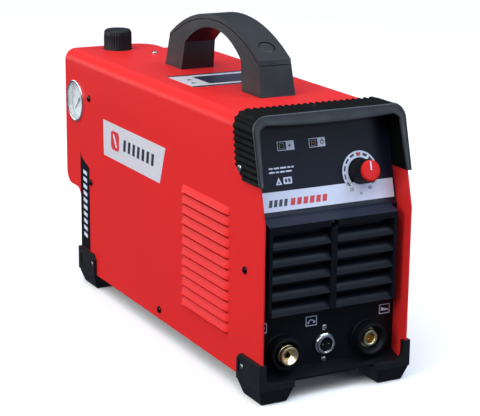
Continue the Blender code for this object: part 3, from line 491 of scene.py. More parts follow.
def circuit(name):
    """Green solder mask over copper tracks."""
    look = Look(name, 0.42)
    lanes = look.mapped("TexBrick", Scale=90.0, Mortar_Size=0.03, Color1=(0.006, 0.09, 0.035, 1.0),
                        Color2=(0.010, 0.13, 0.05, 1.0), Mortar=(0.03, 0.2, 0.08, 1.0))
    look.link(lanes["Color"], look.shader.inputs["Base Color"])
    look.relief((lanes["Fac"], 0.03))
    return look.material


def clear_plastic(name, base, alpha, roughness=0.12):
    look = Look(name, roughness, specular=0.8, Alpha=alpha)
    look.colour(look.noise(40.0, 3.0), base, 0.04)
    look.dull(look.noise(160.0, 3.0), roughness - 0.04, roughness + 0.05)
    return look.material


def lamp_plastic(name, base):
    """The dyed clear plastic of an unlit lamp."""
    look = Look(name, 0.25, Coat_Weight=0.6)
    look.colour(look.noise(900.0, 2.0), base, 0.15)
    return look.material


def wound(name, base):
    """Varnished wire laid side by side."""
    look = Look(name, 0.3, 1.0, Coat_Weight=0.5)
    wave = look.mapped("TexWave", Scale=420.0, Distortion=0.6)["Fac"]
    look.colour(wave, base, 0.35)
    look.relief((wave, 0.2))
    return look.material


RED = powder_coat("red_powder_coat", (0.66, 0.022, 0.022))
HOOD_BLACK = moulded("hood_plastic", (0.003, 0.0035, 0.0035), 0.5, 1100.0, 0.02, specular=0.05)
# The rim's copy of the hood plastic is bluer and glossier: painted sheen on the visor's front faces.
RIM_SHEEN_BLACK = moulded("hood_rim_painted_sheen", (0.005, 0.006, 0.009), 0.36, 1100.0, 0.012)
PANEL_BLACK = moulded("panel_plastic", (0.0035, 0.0045, 0.007), 0.46, 1100.0, 0.02, specular=0.14)
# The shelf's copy of the panel plastic is lighter and bluer: painted reflection of the sky on the
# upward-facing shelf.
SHELF_SHEEN_BLACK = moulded("shelf_painted_sky_sheen", (0.009, 0.014, 0.028), 0.4, 1100.0, 0.015, specular=0.35)
SLAT_BLACK = moulded("slat_plastic", (0.003, 0.0045, 0.009), 0.42, 1100.0, 0.012, specular=0.17)
HANDLE_BLACK = moulded("handle_plastic", (0.004, 0.005, 0.008), 0.4, 950.0, 0.025, specular=0.4)
KNOB_BLACK = moulded("knob_plastic", (0.004, 0.004, 0.006), 0.36, 1400.0, 0.012, specular=0.22)
KNOB_RED = moulded("knob_red_plastic", (0.66, 0.012, 0.011), 0.36, 1400.0, 0.008, 0.05, 0.16)
RUBBER = moulded("foot_rubber", (0.005, 0.0055, 0.0075), 0.5, 700.0, 0.03, 0.18, 0.3)
HOSE = moulded("hose_rubber", (0.012, 0.012, 0.013), 0.5, 600.0, 0.05, 0.2)
FERRITE = moulded("ferrite", (0.03, 0.03, 0.033), 0.6, 500.0, 0.05, 0.2)
REAR_STEEL = moulded("rear_black_coat", (0.016, 0.016, 0.018), 0.4, 1300.0, 0.012)
FILM = printed("film_navy", (0.007, 0.008, 0.019), 0.34, 0.11)
BLACK_FILM = printed("film_black", (0.004, 0.004, 0.006), 0.42, 0.1)
WHITE_INK = printed("ink_white", (0.66, 0.70, 0.86))
GREY_INK = printed("ink_grey", (0.30, 0.32, 0.40))
DARK_INK = printed("ink_dark", (0.018, 0.02, 0.045))
RED_INK = printed("ink_red", (0.62, 0.03, 0.035))
LABEL_WHITE = printed("label_white", (0.62, 0.61, 0.66), 0.3)
DIAL_WHITE = printed("dial_white", (0.74, 0.78, 0.78), 0.45)
NEEDLE = printed("needle_black", (0.01, 0.01, 0.012), 0.35)
BRASS = metal("brass", (0.88, 0.72, 0.43), 0.27, (1.0, 8.0, 1.0))
CHROME = metal("chrome", (0.78, 0.78, 0.80), 0.12, (1.0, 6.0, 1.0), 500.0, 0.002, 0.03)
STEEL = metal("screw_steel", (0.36, 0.36, 0.37), 0.26, (5.0, 1.0, 1.0), 900.0, 0.003)
DARK_STEEL = metal("black_oxide", (0.022, 0.021, 0.024), 0.2, (4.0, 1.0, 1.0), 900.0, 0.004, 0.15)
ALUMINIUM = metal("aluminium", (0.66, 0.67, 0.69), 0.3, (1.0, 12.0, 1.0), 420.0, 0.006)
BOWL_CLEAR = clear_plastic("bowl_plastic", (0.62, 0.72, 0.78), 0.42)
LENS_CLEAR = clear_plastic("gauge_glass", (0.85, 0.92, 0.95), 0.16, 0.06)
LED_GREEN = lamp_plastic("led_green", (0.02, 0.16, 0.04))
LED_AMBER = lamp_plastic("led_amber", (0.30, 0.13, 0.02))
BOARD = circuit("circuit_board")
COPPER = wound("winding", (0.55, 0.2, 0.08))

KEPT = {  # CAD nodes that stay: material, and the rounding of their edges
    "base_pan": (REAR_STEEL, 0.2), "rear_panel": (REAR_STEEL, 0.25), "fan_frame": (REAR_STEEL, 0.3),
    "control_overlay": (FILM, 0.0), "control_board": (BOARD, 0.0), "power_board": (BOARD, 0.0),
    "potentiometer": (STEEL, 0.0), "regulator_spindle": (STEEL, 0.2), "control_shaft": (ALUMINIUM, 0.0),
    "heatsink": (ALUMINIUM, 0.2), "regulator_body": (ALUMINIUM, 0.5), "transformer": (FERRITE, 0.4),
    "output_choke": (COPPER, 0.6), "air_valve": (BRASS, 0.4), "torch_hose": (HOSE, 0.0),
    "supply_hose": (HOSE, 0.0), "fan_rotor": (KNOB_BLACK, 0.2), "gauge_needle": (NEEDLE, 0.0),
    "led_power": (LED_GREEN, 0.0), "led_fault": (LED_AMBER, 0.0), "switch_housing": (PANEL_BLACK, 0.4),
}


def dress_kept_nodes():
    for name, (look, width) in KEPT.items():
        dress(NODES[name], look)
        soften(NODES[name], width, 2)


# ---------------------------------------------------------------- case

LOUVRE_FRONT = 70.0
LOUVRE_REAR = 177.0
LOUVRE_LIPS = [55.3 + 11.2 * i for i in range(12)]  # heights of the hoods' open edges
LOUVRE_BULGE = 3.5
LOUVRE_HEIGHT = 7.7
LOUVRE_SHEET = 1.1
LOUVRE_ROOT = 0.3  # how far a hood's edge is sunk in the wall
LOUVRE_ENDS = (9.0, 4.5)  # rounding at the front and at the rear
SCREW_HOLE = 2.4
GAUGE_HOLE = 23.8
REGULATOR_HOLE = 17.8
GUARD_LOW = 116.0  # height of the rear guard's lower edge
GUARD_FILLET = 12.0
GUARD_ROUND = 15.0
GUARD_RIGHT = 27.5  # how far the guard reaches across the top
GUARD_CORNER = 25.5


def louvre_hood(bm, side, lip):
    """One pressed louvre: a sheet that swells from the wall down to an open lip."""
    columns = 30
    rows = 8
    length = LOUVRE_REAR - LOUVRE_FRONT
    grids = []
    for skin in (0.0, LOUVRE_SHEET):
        grid = []
        for i in range(columns + 1):
            along = length * (0.5 - 0.5 * math.cos(math.pi * i / columns))
            end = min(along / LOUVRE_ENDS[0], (length - along) / LOUVRE_ENDS[1])
            ease = math.sqrt(1.0 - (1.0 - min(end, 1.0)) ** 2)
            column = []
            for j in range(rows + 1):
                share = j / rows
                swell = 0.62 * share + 0.38 * math.sin(share * math.pi / 2.0)
                out = -LOUVRE_ROOT + (LOUVRE_BULGE + LOUVRE_ROOT) * ease * swell - skin
                z = lip + LOUVRE_HEIGHT * (1.0 - share) - skin * 0.15
                column.append(bm.verts.new((side * (HALF + out), back(LOUVRE_FRONT + along), z)))
            grid.append(column)
        grids.append(grid)
    outer, inner = grids
    for skin in (outer, inner, (outer[0], inner[0]), (outer[-1], inner[-1])):
        skin_into(bm, skin)
    for j in (0, rows):
        skin_into(bm, [[column[j] for column in grid] for grid in grids])


def cover_sheet():
    """The folded sheet, cut to its leaning front edge and to the guard at the rear left."""
    outer = arch_section(HALF, CASE_TOP, CASE_BOTTOM, BEND)
    inner = arch_section(HALF - SHEET, CASE_TOP - SHEET, CASE_BOTTOM, BEND - SHEET)
    shell = prism(outer + inner[::-1], "Y", back(0.0), back(GUARD_DEPTH))
    beside, above, below = HALF + 8.0, CASE_TOP + 20.0, -5.0
    rear, behind = back(CASE_DEPTH), back(GUARD_DEPTH + 10.0)
    lean = [(back(0.0), KINK_HEIGHT), (back(SLOPE * (above - KINK_HEIGHT)), above),
            (back(-20.0), above), (back(-20.0), KINK_HEIGHT)]
    corner_x = GUARD_RIGHT - GUARD_CORNER
    plan = ([(beside, rear), (GUARD_RIGHT - 0.5, rear)]
            + arc((corner_x, back(GUARD_DEPTH - GUARD_CORNER)), GUARD_CORNER, 0.0, 90.0, 16)
            + [(corner_x, behind), (beside, behind)])
    fillet_z, round_z = GUARD_LOW - GUARD_FILLET, GUARD_LOW + GUARD_ROUND
    edge = ([(rear, below), (rear, fillet_z)]
            + arc((back(CASE_DEPTH + GUARD_FILLET), fillet_z), GUARD_FILLET, 180.0, 90.0, 10)
            + arc((back(GUARD_DEPTH - GUARD_ROUND), round_z), GUARD_ROUND, -90.0, 0.0, 10)
            + [(behind, round_z), (behind, below)])
    return carve(shell, prism(lean, "X", -beside, beside), prism(plan, "Z", below, CASE_TOP + 8.0),
                 prism(edge, "X", -beside, 0.0))


def louvre_slots(side):
    """The openings behind one side's louvres."""
    rows = [rectangle(back(LOUVRE_FRONT + 4.0), back(LOUVRE_REAR - 2.5), lip - 3.4, lip + 5.2)
            for lip in LOUVRE_LIPS]
    return prisms(rows, "X", *across(side, HALF - 5.0, HALF + 5.0))


def cover_holes():
    """Holes for the gauge, the regulator and the screws."""
    gauge = middle("gauge_case")
    regulator = middle("regulator_spindle")
    holes = [rod((-HALF, gauge.y, gauge.z), (1, 0, 0), GAUGE_HOLE, 10.0, 64),
             rod((regulator.x, regulator.y, CASE_TOP), (0, 0, 1), REGULATOR_HOLE, 10.0, 64)]
    for side in (-1, 1):
        for distance, height in SIDE_SCREWS + (HOOD_SCREW,):
            holes.append(rod((side * HALF, back(distance), height), (1, 0, 0), SCREW_HOLE, 10.0, 24))
    for distance in TOP_SCREW_BACKS:
        holes.append(rod((0.0, back(distance), CASE_TOP), (0, 0, 1), SCREW_HOLE, 10.0, 24))
    return merge(*holes)


def build_cover():
    shell = cover_sheet()
    carve(shell, *(louvre_slots(side) for side in (-1, 1)))
    carve(shell, cover_holes())
    piece(shell, "cover_shell", RED, "cover", bevel=0.35, angle=30.0)
    for side, word in SIDES:
        bm = bmesh.new()
        for lip in LOUVRE_LIPS:
            louvre_hood(bm, side, lip)
        piece(loose(bm), f"louvres_{word}", RED, angle=50.0)
        sheet = block(across(side, 80.4, 81.0), (back(64.0), back(184.0)), (48.0, 190.0))
        piece(sheet, f"louvre_backing_{word}", RED)


HOOD_HALF = 87.0
HOOD_TOP = 286.3
HOOD_LOW = 220.5
HOOD_FRONT = 5.9
HOOD_REAR = 62.0
HOOD_RADIUS = 15.0
HOOD_STEP = 233.5  # below this height the rear edge turns sharply forwards
RIB_PITCH = 7.0
SIDE_RIB_PITCH = 6.2
SIDE_RIB_START = 223.6
RIB_DEPTH = 1.7


def hood_columns():
    """Outer points of the visor's arch: (x, z, inward normal, rib groove, rim width, crown)."""
    def groove(phase):
        return (0.5 + 0.5 * math.cos(math.tau * phase)) ** 1.1

    leg_top = HOOD_TOP - HOOD_RADIUS
    flat = HOOD_HALF - HOOD_RADIUS
    line = []
    steps = 62
    for i in range(steps):
        share = i / steps
        z = HOOD_LOW + (leg_top - HOOD_LOW) * share
        rib = groove((z - SIDE_RIB_START) / SIDE_RIB_PITCH)
        line.append((-HOOD_HALF, z, (1.0, 0.0), rib, 6.4 + 2.1 * share, 0.0))
    steps = 14
    for i in range(steps + 1):
        share = i / steps
        angle = math.pi * (1.0 - share / 2.0)
        x = -flat + HOOD_RADIUS * math.cos(angle)
        z = leg_top + HOOD_RADIUS * math.sin(angle)
        width = 8.5 + 2.0 * share + 1.6 * math.sin(math.pi * share)
        line.append((x, z, (-math.cos(angle), -math.sin(angle)), groove(share * 3.0 + 0.5), width, share))
    steps = 82
    for i in range(1, steps + 1):
        x = -flat + flat * i / steps
        width = 10.5 + 2.6 * (1.0 - (x / flat) ** 2)
        line.append((x, HOOD_TOP, (0.0, -1.0), groove(x / RIB_PITCH + 0.5), width, 1.0))
    mirrored = [(-x, z, (-nx, nz), *rest) for x, z, (nx, nz), *rest in line[:-1]]
    return line + mirrored[::-1]


def hood_section(x, z, normal, rib, width, crown):
    """The visor cut along its length at one point of its arch."""
    nx, nz = normal
    over_cover = 2.8 + 3.2 * crown
    lining = 4.9 + 3.3 * crown
    inner = lining + 1.2
    dip = RIB_DEPTH * rib
    if z > HOOD_STEP:
        rear = min(HOOD_REAR, 57.0 + (z - HOOD_STEP) * 0.15)
    else:
        rear = 41.0 + (z - 219.5) * 8.0 / 7.0

    def spot(inset, distance=None, ahead=0.0):
        height = z + nz * inset
        if distance is None:
            distance = HOOD_FRONT + SLOPE * (height - HOOD_LOW) + ahead
        return (x + nx * inset, back(distance), height)

    def panel(inset):
        return slope_back(z + nz * inset) - 1.4

    def sheet_edge(inset):
        return max(0.0, SLOPE * (z + nz * inset - KINK_HEIGHT)) - 0.5

    return [
        spot(inner, panel(inner)), spot(inner, ahead=4.4), spot(max(width, inner) + 0.1, ahead=3.4),
        spot(width + 0.1, ahead=1.0), spot(width - 0.4, ahead=0.3), spot(width - 1.2, ahead=0.0),
        spot((width + 2.2) / 2.0, ahead=0.0), spot(2.2, ahead=0.0), spot(1.3, ahead=0.15),
        spot(0.6, ahead=0.6), spot(0.15, ahead=1.3), spot(0.0, ahead=2.2), spot(0.0, ahead=2.5),
        spot(dip * 0.6, ahead=3.0), spot(dip, ahead=3.9), spot(dip, (rear + 20.0) / 2.0 + 8.0),
        spot(dip, rear - 1.0), spot(dip + 0.25, rear - 0.3 - dip * 0.5),
        spot(dip + 0.9, rear - dip * 0.7), spot(over_cover, rear - dip * 0.4),
        spot(over_cover, sheet_edge(over_cover)), spot(lining, sheet_edge(lining)),
        spot(lining, panel(lining)),
    ]


def build_hood():
    bm = bmesh.new()
    stack_into(bm, [hood_section(*column) for column in reversed(hood_columns())])
    hood = loose(bm)
    distance, height = HOOD_SCREW
    seats = [rod((0.0, back(TOP_SCREW_BACKS[0]), 292.0), (0, 0, 1), 5.0, 20.0)]
    for side in (-1, 1):
        seats.append(rod((side * 90.1, back(distance), height), (1, 0, 0), 5.2, 10.0))
    carve(hood, merge(*seats))
    piece(hood, "hood_visor", HOOD_BLACK, "hood", angle=42.0)
    # Front-facing faces take the rim's bluer, glossier copy of the hood plastic: painted sheen.
    second_look(hood, RIM_SHEEN_BLACK, lambda face: face.normal.y < -0.5)


FOOT_OUTER = 87.8
FOOT_INNER = FOOT_OUTER - 40.2
FOOT_DEPTH = 48.1
FOOT_TOP = 43.7
FOOT_PROUD = 1.3  # how far the feet stand out from the case's ends
POST_WIDTH = 8.0
BAR_LOW = 16.0
BAR_TOP = 22.5
BAR_FILLET = 9.0
WING_CHAMFER = 6.0


def foot_outline(side):
    """The bar's outline across the front or rear, with its post and fillet."""
    post = FOOT_OUTER - POST_WIDTH
    fillet = arc((post - BAR_FILLET, BAR_TOP + BAR_FILLET), BAR_FILLET, 0.0, -90.0, 9)
    points = [(FOOT_OUTER, BAR_LOW), (FOOT_OUTER, FOOT_TOP), (post, FOOT_TOP), *fillet,
              (FOOT_INNER, BAR_TOP), (FOOT_INNER, BAR_LOW)]
    return [(side * x, z) for x, z in points]


def build_foot(node, side, end):
    """A corner guard: tapered pad, side wing with a sunk panel, and a bar round the corner."""
    face = back(-FOOT_PROUD) if end < 0 else back(CASE_DEPTH + FOOT_PROUD)

    def along(distance):
        return face - end * distance

    def wing_points(points):
        return [(along(distance), z) for distance, z in points]

    pad = []
    for z, inset in ((0.0, 6.5), (1.2, 5.6), (18.2, 0.0)):
        ring = rectangle(FOOT_INNER + inset, FOOT_OUTER - inset, inset, FOOT_DEPTH - inset)
        pad.append([(side * x, along(y), z) for x, y in ring])
    bm = bmesh.new()
    stack_into(bm, pad)
    foot = loose(bm)
    wing = wing_points([(0.0, 16.2), (0.0, FOOT_TOP), (FOOT_DEPTH - WING_CHAMFER, FOOT_TOP),
                        (FOOT_DEPTH, FOOT_TOP - WING_CHAMFER), (FOOT_DEPTH, 16.2)])
    groove = wing_points([(6.5, 24.0), (6.5, 36.5), (24.0, 39.2), (40.5, 39.2), (44.6, 35.4),
                          (44.6, 24.0), (36.0, 20.6), (13.0, 20.6)])
    bar = foot_outline(side)
    within = [(side * min(abs(x), 82.2), z) for x, z in bar]
    join(foot, prism(wing, "X", *across(side, HALF + 0.3, FOOT_OUTER)))
    join(foot, prism(bar, "Y", *sorted((along(0.0), along(1.0)))))
    join(foot, prism(within, "Y", *sorted((along(0.5), along(6.0)))))
    carve(foot, prism(groove, "X", *across(side, FOOT_OUTER - 0.9, FOOT_OUTER + 2.0)))
    screw_y = along(39.0 if end > 0 else 40.0)
    screw_z = 30.0
    carve(foot, rod((side * FOOT_OUTER, screw_y, screw_z), (1, 0, 0), 4.4, 4.4, 32))
    piece(foot, f"{node}_guard", RUBBER, node, bevel=0.7)
    return Vector((side * (FOOT_OUTER - 2.2), screw_y, screw_z))


# ---------------------------------------------------------------- handle

HANDLE_CENTRE = 239.5
HANDLE_HALF = 20.3  # half its width at the case
HANDLE_TOP_HALF = 17.0
CAP_ARCH = (105.5, 317.0, 350.5)  # half its chord, and the heights of its ends and its crown
SEAM_ARCH = (106.5, 311.5, 345.0)
INNER_ARCH = (66.0, 312.0, 336.5)
WEB_ARCHES = ((104.0, 312.5, 345.4), (104.0, 309.0, 343.0))
FOOT_ENDS = (72.0, 113.5)  # inner and outer end of a handle foot, from the handle's middle
SEAM_GAP = 0.35  # between the arch and its cap, on each side of the seam


def taper_width(obj):
    for vert in obj.data.vertices:
        share = (vert.co.z / MM - CASE_TOP) / (CAP_ARCH[2] - CASE_TOP)
        vert.co.x *= (HANDLE_HALF + (HANDLE_TOP_HALF - HANDLE_HALF) * share) / HANDLE_HALF


def build_handle():
    """The arch, the cap along its top, and the plug over the front screw."""
    centre = back(HANDLE_CENTRE)
    top = bow(*CAP_ARCH, centre, 48)
    seam = bow(*SEAM_ARCH, centre, 48)
    inner = bow(*INNER_ARCH, centre, 40)
    web_top, web_low = (bow(*sizes, centre, 48) for sizes in WEB_ARCHES)
    foot = CASE_TOP + 0.05
    near, far = FOOT_ENDS
    outline = ([(centre - far, foot)] + [(y, z - SEAM_GAP) for y, z in seam]
               + [(centre + far, foot), (centre + near, foot)] + inner[::-1] + [(centre - near, foot)])
    arch = prism(outline, "X", -HANDLE_HALF, HANDLE_HALF)
    web = prism(web_top + web_low[::-1], "X", -17.6, 17.6)
    cap = prism(top + [(y, z + SEAM_GAP) for y, z in seam[::-1]], "X", -HANDLE_HALF, HANDLE_HALF)
    for part in (arch, web, cap):
        taper_width(part)
    join(arch, web)
    piece(arch, "handle_arch", HANDLE_BLACK, "handle_body", bevel=1.3, angle=30.0)
    half_chord, ends, crown = CAP_ARCH
    radius = bow_radius(half_chord, crown - ends)
    ahead = -88.0
    rise = math.sqrt(radius ** 2 - ahead ** 2)
    lean = Vector((0.0, ahead, rise)).normalized()
    spot = Vector((0.0, centre + ahead, crown - radius + rise))
    carve(cap, rod(spot, lean, 9.0, 3.2, 48))
    piece(cap, "handle_cap", HANDLE_BLACK, "handle_grip", bevel=1.9, angle=30.0)
    plug = [(0.0, -0.25), (6.0, -0.3), (7.6, -0.5), (8.3, -1.0), (8.4, -1.55), (0.0, -1.55)]
    piece(turned(plug, spot, lean, 48), "handle_button", HANDLE_BLACK, "handle_plug")


# ---------------------------------------------------------------- control face

FILM_FACE = 0.82  # the film's face, in front of the moulding
DIAL_SCALE = 18.8  # outer radius of the scale's marks
BAND_BARS = (193.4, 6.6, 1.6)  # foot, height and lean of the pale band's bars


def scale_marks(centre):
    """Dark blocks of the output scale, growing round the dial."""
    blocks = []
    count = 11
    for i in range(count):
        mid = 216.0 - 252.0 * i / (count - 1)
        depth = 1.3 + 2.2 * i / (count - 1)
        blocks.append(band(centre, DIAL_SCALE - depth, DIAL_SCALE, mid - 8.2, mid + 8.2, 6))
    return blocks


def slanted(u, v, width, height, lean):
    return [(u, v), (u + width, v), (u + width + lean, v + height), (u + lean, v + height)]


def white_prints(dial):
    """The pale band, the dial's ring, the lamps' windows, two rows of bars and two symbols."""
    white = [rectangle(-79.6, 79.6, 189.0, 207.6), band(dial, 14.0, 20.5, -38.0, 218.0, 48)]
    for u0, u1 in ((-47.9, -29.1), (-12.2, 6.2)):
        white += bars(u0, u1, 245.2, 254.0, 0.6, right=u1 - u0 - 9.8)
    for v, lengths in ((228.6, (4.4, 5.6, 7.0, 3.2, 2.4)), (224.9, (6.2, 3.4, 5.0, 6.6))):
        u = -60.0
        for length in lengths:
            white.append(rectangle(u, u + length, v, v + 1.5))
            u += length + 1.3
    warning = [(-53.8, 213.6), (-46.8, 213.6), (-50.3, 220.6)]
    return white + [warning, rounded(-45.2, -35.6, 213.8, 220.2, 1.0)]


def dark_prints(dial):
    """The output scale, the marks inside the white symbols and windows, and the band's first bars."""
    foot, height, lean = BAND_BARS
    spark = [(-34.0, 252.0), (-36.0, 248.9), (-34.4, 248.9), (-35.4, 246.4), (-32.3, 250.1), (-33.9, 250.1)]
    dark = scale_marks(dial)
    dark += [rounded(-43.6, -40.9, 215.2, 218.8, 0.5), rounded(-39.9, -37.2, 215.2, 218.8, 0.5)]
    dark += [[(-51.6, 214.6), (-49.0, 214.6), (-50.3, 217.4)], spark]
    dark += [band((2.6, 249.6), 1.3, 2.1, 0.0, 359.9, 20), rectangle(2.2, 3.0, 250.4, 252.6)]
    return dark + [slanted(-64.6 + 5.6 * i, foot, 3.6, height, lean) for i in range(4)]


def build_control_prints():
    dial = (KNOB_X, KNOB_HEIGHT)
    foot, height, lean = BAND_BARS
    red = [band(dial, 15.2, DIAL_SCALE, 84.5, 95.5, 6)]
    red += [slanted(-40.4 + 7.2 * i, foot, 5.0, height, lean) for i in range(6)]
    grey = []
    for u in (-43.0, -7.0):
        grey += bars(u - 2.7, u + 2.7, 246.8, 252.2, 0.4)
    for name, outlines, lift, look in (("white", white_prints(dial), 0.1, WHITE_INK),
                                       ("dark", dark_prints(dial), 0.18, DARK_INK),
                                       ("red", red, 0.26, RED_INK), ("grey", grey, 0.1, GREY_INK)):
        decal(f"film_print_{name}", outlines, on_slope, FILM_FACE + lift, look)
    figures("dial_figures", [("20", 5.0, 30.6, 200.8), ("40", 5.0, 52.0, 200.8), ("A", 4.4, 41.3, 196.2)],
            on_slope, FILM_FACE + 0.14)


def build_knob():
    """A fluted black skirt with a flat red cap let into its front, and a white pointer."""
    spot = on_slope(KNOB_X, KNOB_HEIGHT, 0.0)
    top = KNOB_LENGTH
    split = top - 3.0
    skirt = [(3.2, split), (10.6, split), (11.3, split - 0.3, 0.4), (11.9, split - 1.2, 1.0),
             (12.5, 3.0, 1.0), (12.6, 2.2), (12.6, 1.3), (3.2, 1.3)]
    piece(turned(skirt, spot, PANEL_NORMAL, 168, True, 28, 0.9), "knob_skirt", KNOB_BLACK,
          "current_knob", "current_knob")
    cap = [(0.0, top), (8.6, top), (9.8, top - 0.2), (10.4, top - 0.7), (10.6, top - 1.5),
           (10.6, split + 0.3), (0.0, split + 0.3)]
    piece(turned(cap, spot, PANEL_NORMAL, 96), "knob_cap", KNOB_RED, "current_knob_cap",
          "current_knob")
    up = Vector((0.0, SLOPE, 1.0)).normalized()

    def on_cap(u, v, out):
        return spot + Vector((u, 0.0, 0.0)) + up * v + PANEL_NORMAL * (top + out)

    decal("knob_pointer", [rectangle(-0.75, 0.75, 0.6, 9.4)], on_cap, 0.06, WHITE_INK,
          "current_knob")


SLAT_LOW = 90.7
SLAT_PITCH = 17.0
SLAT_COUNT = 5
SLAT_BULGE = 1.9
SLAT_THICKNESS = 1.7
GRILLE_COLUMNS = ((-69.5, -3.5), (3.5, 69.5))


def slat_outline(base):
    """A bowed slat seen from the side: from a tail behind, over the bulge, down to its front lip."""
    low = Vector((GRILLE_BACK + 0.1, -3.2))
    high = Vector((GRILLE_BACK + 12.0, 7.5))
    up = Vector((low.y - high.y, high.x - low.x)).normalized()
    tail = base + 12.0
    upper, lower = [(back(high.x), tail)], [(back(high.x + SLAT_THICKNESS), tail)]
    steps = 14
    for i in range(steps + 1):
        t = 1.0 - i / steps
        spot = low.lerp(high, t) + up * SLAT_BULGE * 4.0 * t * (1.0 - t)
        for skin, depth in ((upper, 0.0), (lower, SLAT_THICKNESS)):
            skin.append((back(spot.x - up.x * depth), base + spot.y - up.y * depth))
    return upper + lower[::-1]


def build_front_moulding():
    """The panel with its shelf and frame, its two windows filled with bowed slats."""
    bm = bmesh.new()
    bm.from_mesh(NODES["front_panel"].data)
    bmesh.ops.scale(bm, vec=(1.0 / MM, 1.0 / MM, 1.0 / MM), verts=bm.verts)
    shape = loose(bm)
    depth = (back(GRILLE_BACK - 2.0), back(GRILLE_BACK + 12.2))
    carve(shape, merge(*(block(column, depth, (86.0, 172.5)) for column in GRILLE_COLUMNS)))
    face_outwards(shape)
    piece(shape, "front_moulding", PANEL_BLACK, "front_panel", angle=8.0)
    # Upward-facing faces of the shelf take the lighter, bluer copy of the panel plastic: painted sky
    # reflection.
    second_look(shape, SHELF_SHEEN_BLACK, lambda face: face.normal.z > 0.2 and face.center.z > 0.17)
    # A near-black sheet behind the slats: painted shade standing in for the dark inside of the case seen
    # through the grille.
    screen = block((-70.3, 70.3), (back(GRILLE_BACK + 14.0), back(GRILLE_BACK + 14.8)), (SLAT_LOW, 175.3))
    piece(screen, "grille_painted_shade_sheet", BLACK_FILM)
    slats = []
    for row in range(SLAT_COUNT):
        outline = slat_outline(SLAT_LOW + SLAT_PITCH * row)
        slats += [prism(outline, "X", x0 - 0.4, x1 + 0.4) for x0, x1 in GRILLE_COLUMNS]
    piece(merge(*slats), "grille_slats", SLAT_BLACK, bevel=0.25, angle=40.0)


def build_socket_pictograms():
    """A framed symbol above each socket: a torch, an arc between two contacts, and a clamp."""
    marks = []
    for x, z in ((-72.6, 72.2), (-15.4, 71.8), (71.4, 71.8)):
        marks += bars(x - 6.4, x + 6.4, z - 5.1, z + 5.1, 0.75)
    marks += [slanted(-76.9, 70.6, 7.4, 2.4, 1.0), band((-15.4, 69.6), 2.9, 3.8, 20.0, 150.0, 10)]
    marks += [rounded(-13.4, -10.9, 69.4, 71.9, 1.0), rounded(-20.0, -17.6, 69.4, 71.2, 0.8)]
    marks.append([(67.2, 70.0), (75.6, 70.0), (75.6, 71.6), (71.6, 72.4), (67.2, 74.0)])
    decal("socket_pictograms", marks, on_socket_face, 0.1, WHITE_INK)


def build_sockets():
    """Profiles are (radius, distance in front of the socket face)."""
    height = middle("torch_socket_collar").z

    def socket_part(name, node, look, profile, x, steps, closed=True, angle=35.0):
        shape = turned(profile, on_socket_face(x, height, 0.0), (0.0, -1.0, 0.0), steps, closed)
        piece(shape, name, look, node, angle=angle)

    rim = 13.5
    collar = [(14.0, rim - 0.4), (14.5, rim), (15.9, rim), (16.6, rim - 0.3), (16.95, rim - 1.0),
              (17.0, rim - 2.0), (17.0, 0.9), (18.0, 0.1), (13.5, 0.1), (13.5, -7.8), (11.0, -7.8),
              (11.0, 7.0), (13.2, rim - 1.0)]
    for node, x in (("torch_socket_collar", -SOCKET_X), ("earth_socket_collar", SOCKET_X)):
        socket_part(f"{node}_ring", node, PANEL_BLACK, collar, x, 96)
    fitting = [(8.2, 19.3), (8.8, 19.3), (9.5, 18.9), (9.8, 18.2), (9.8, 14.6), (9.4, 14.3), (9.4, 13.6),
               (9.8, 13.3), (9.8, 4.0), (10.7, 3.5), (10.7, -6.0), (8.0, -6.0), (8.0, -24.0),
               (2.8, -24.0), (2.8, 14.6), (3.1, 15.2), (7.9, 19.0)]
    socket_part("torch_fitting", "torch_socket_fitting", BRASS, fitting, -SOCKET_X, 96, angle=28.0)
    liner = [(2.2, 14.2), (2.75, 14.0), (2.75, -20.0), (2.2, -20.0)]
    socket_part("torch_gas_liner", None, HOSE, liner, -SOCKET_X, 48)
    contact = [(0.0, -14.0), (4.6, -14.0), (5.0, -13.4), (5.0, 8.2), (5.6, 9.2), (6.4, 9.5), (7.7, 9.5),
               (8.2, 9.2), (8.4, 8.6), (8.4, 3.0), (10.7, 2.8), (10.7, -6.0), (7.5, -6.0), (7.5, -20.0),
               (0.0, -20.0)]
    socket_part("earth_contact", "earth_socket_contact", BRASS, contact, SOCKET_X, 72, False, 28.0)
    shell = [(7.5, 5.4), (8.3, 5.8), (9.3, 5.8), (9.8, 5.5), (10.0, 4.9), (10.0, 4.3), (9.5, 3.9),
             (10.0, 3.5), (10.0, 2.4), (10.9, 2.1), (11.2, 1.6), (11.2, 0.05), (8.5, 0.05), (8.5, -10.0),
             (7.3, -10.0), (7.3, 5.0)]
    socket_part("pilot_socket_ring", "pilot_socket", CHROME, shell, 0.0, 96, angle=25.0)
    core = [(0.0, 2.5), (6.6, 2.5), (7.1, 2.1), (7.1, -12.0), (0.0, -12.0)]
    socket_part("pilot_socket_core", "pilot_socket_insert", PANEL_BLACK, core, 0.0, 48,
                False)
    pin = [(0.0, 4.5), (0.5, 4.4), (0.9, 3.8), (0.9, 2.0), (0.0, 2.0)]
    pins = [turned(pin, on_socket_face(x, height, 0.0), (0.0, -1.0, 0.0), 24) for x in (-3.5, 3.5)]
    piece(merge(*pins), "pilot_pins", CHROME)


# ---------------------------------------------------------------- rear parts

GAUGE_SWEEP = 270.0
GAUGE_START = 225.0  # where the scale's zero stands, anticlockwise from three o'clock
GAUGE_DIAL = 5.0  # depth of the dial below the cover's face


def gauge_ticks():
    """The scale's arc, with 50 divisions: short, longer at every fifth, longest at every tenth."""
    ticks = []
    divisions = 50
    for i in range(divisions + 1):
        angle = GAUGE_START - GAUGE_SWEEP * i / divisions
        major = i % 5 == 0
        half = 0.9 if major else 0.45
        inner = 16.6 if i % 10 == 0 else 17.6 if major else 18.6
        ticks.append(band((0.0, 0.0), inner, 20.0, angle - half, angle + half, 2))
    return ticks + [band((0.0, 0.0), 20.0, 20.35, GAUGE_START - GAUGE_SWEEP, GAUGE_START, 72)]


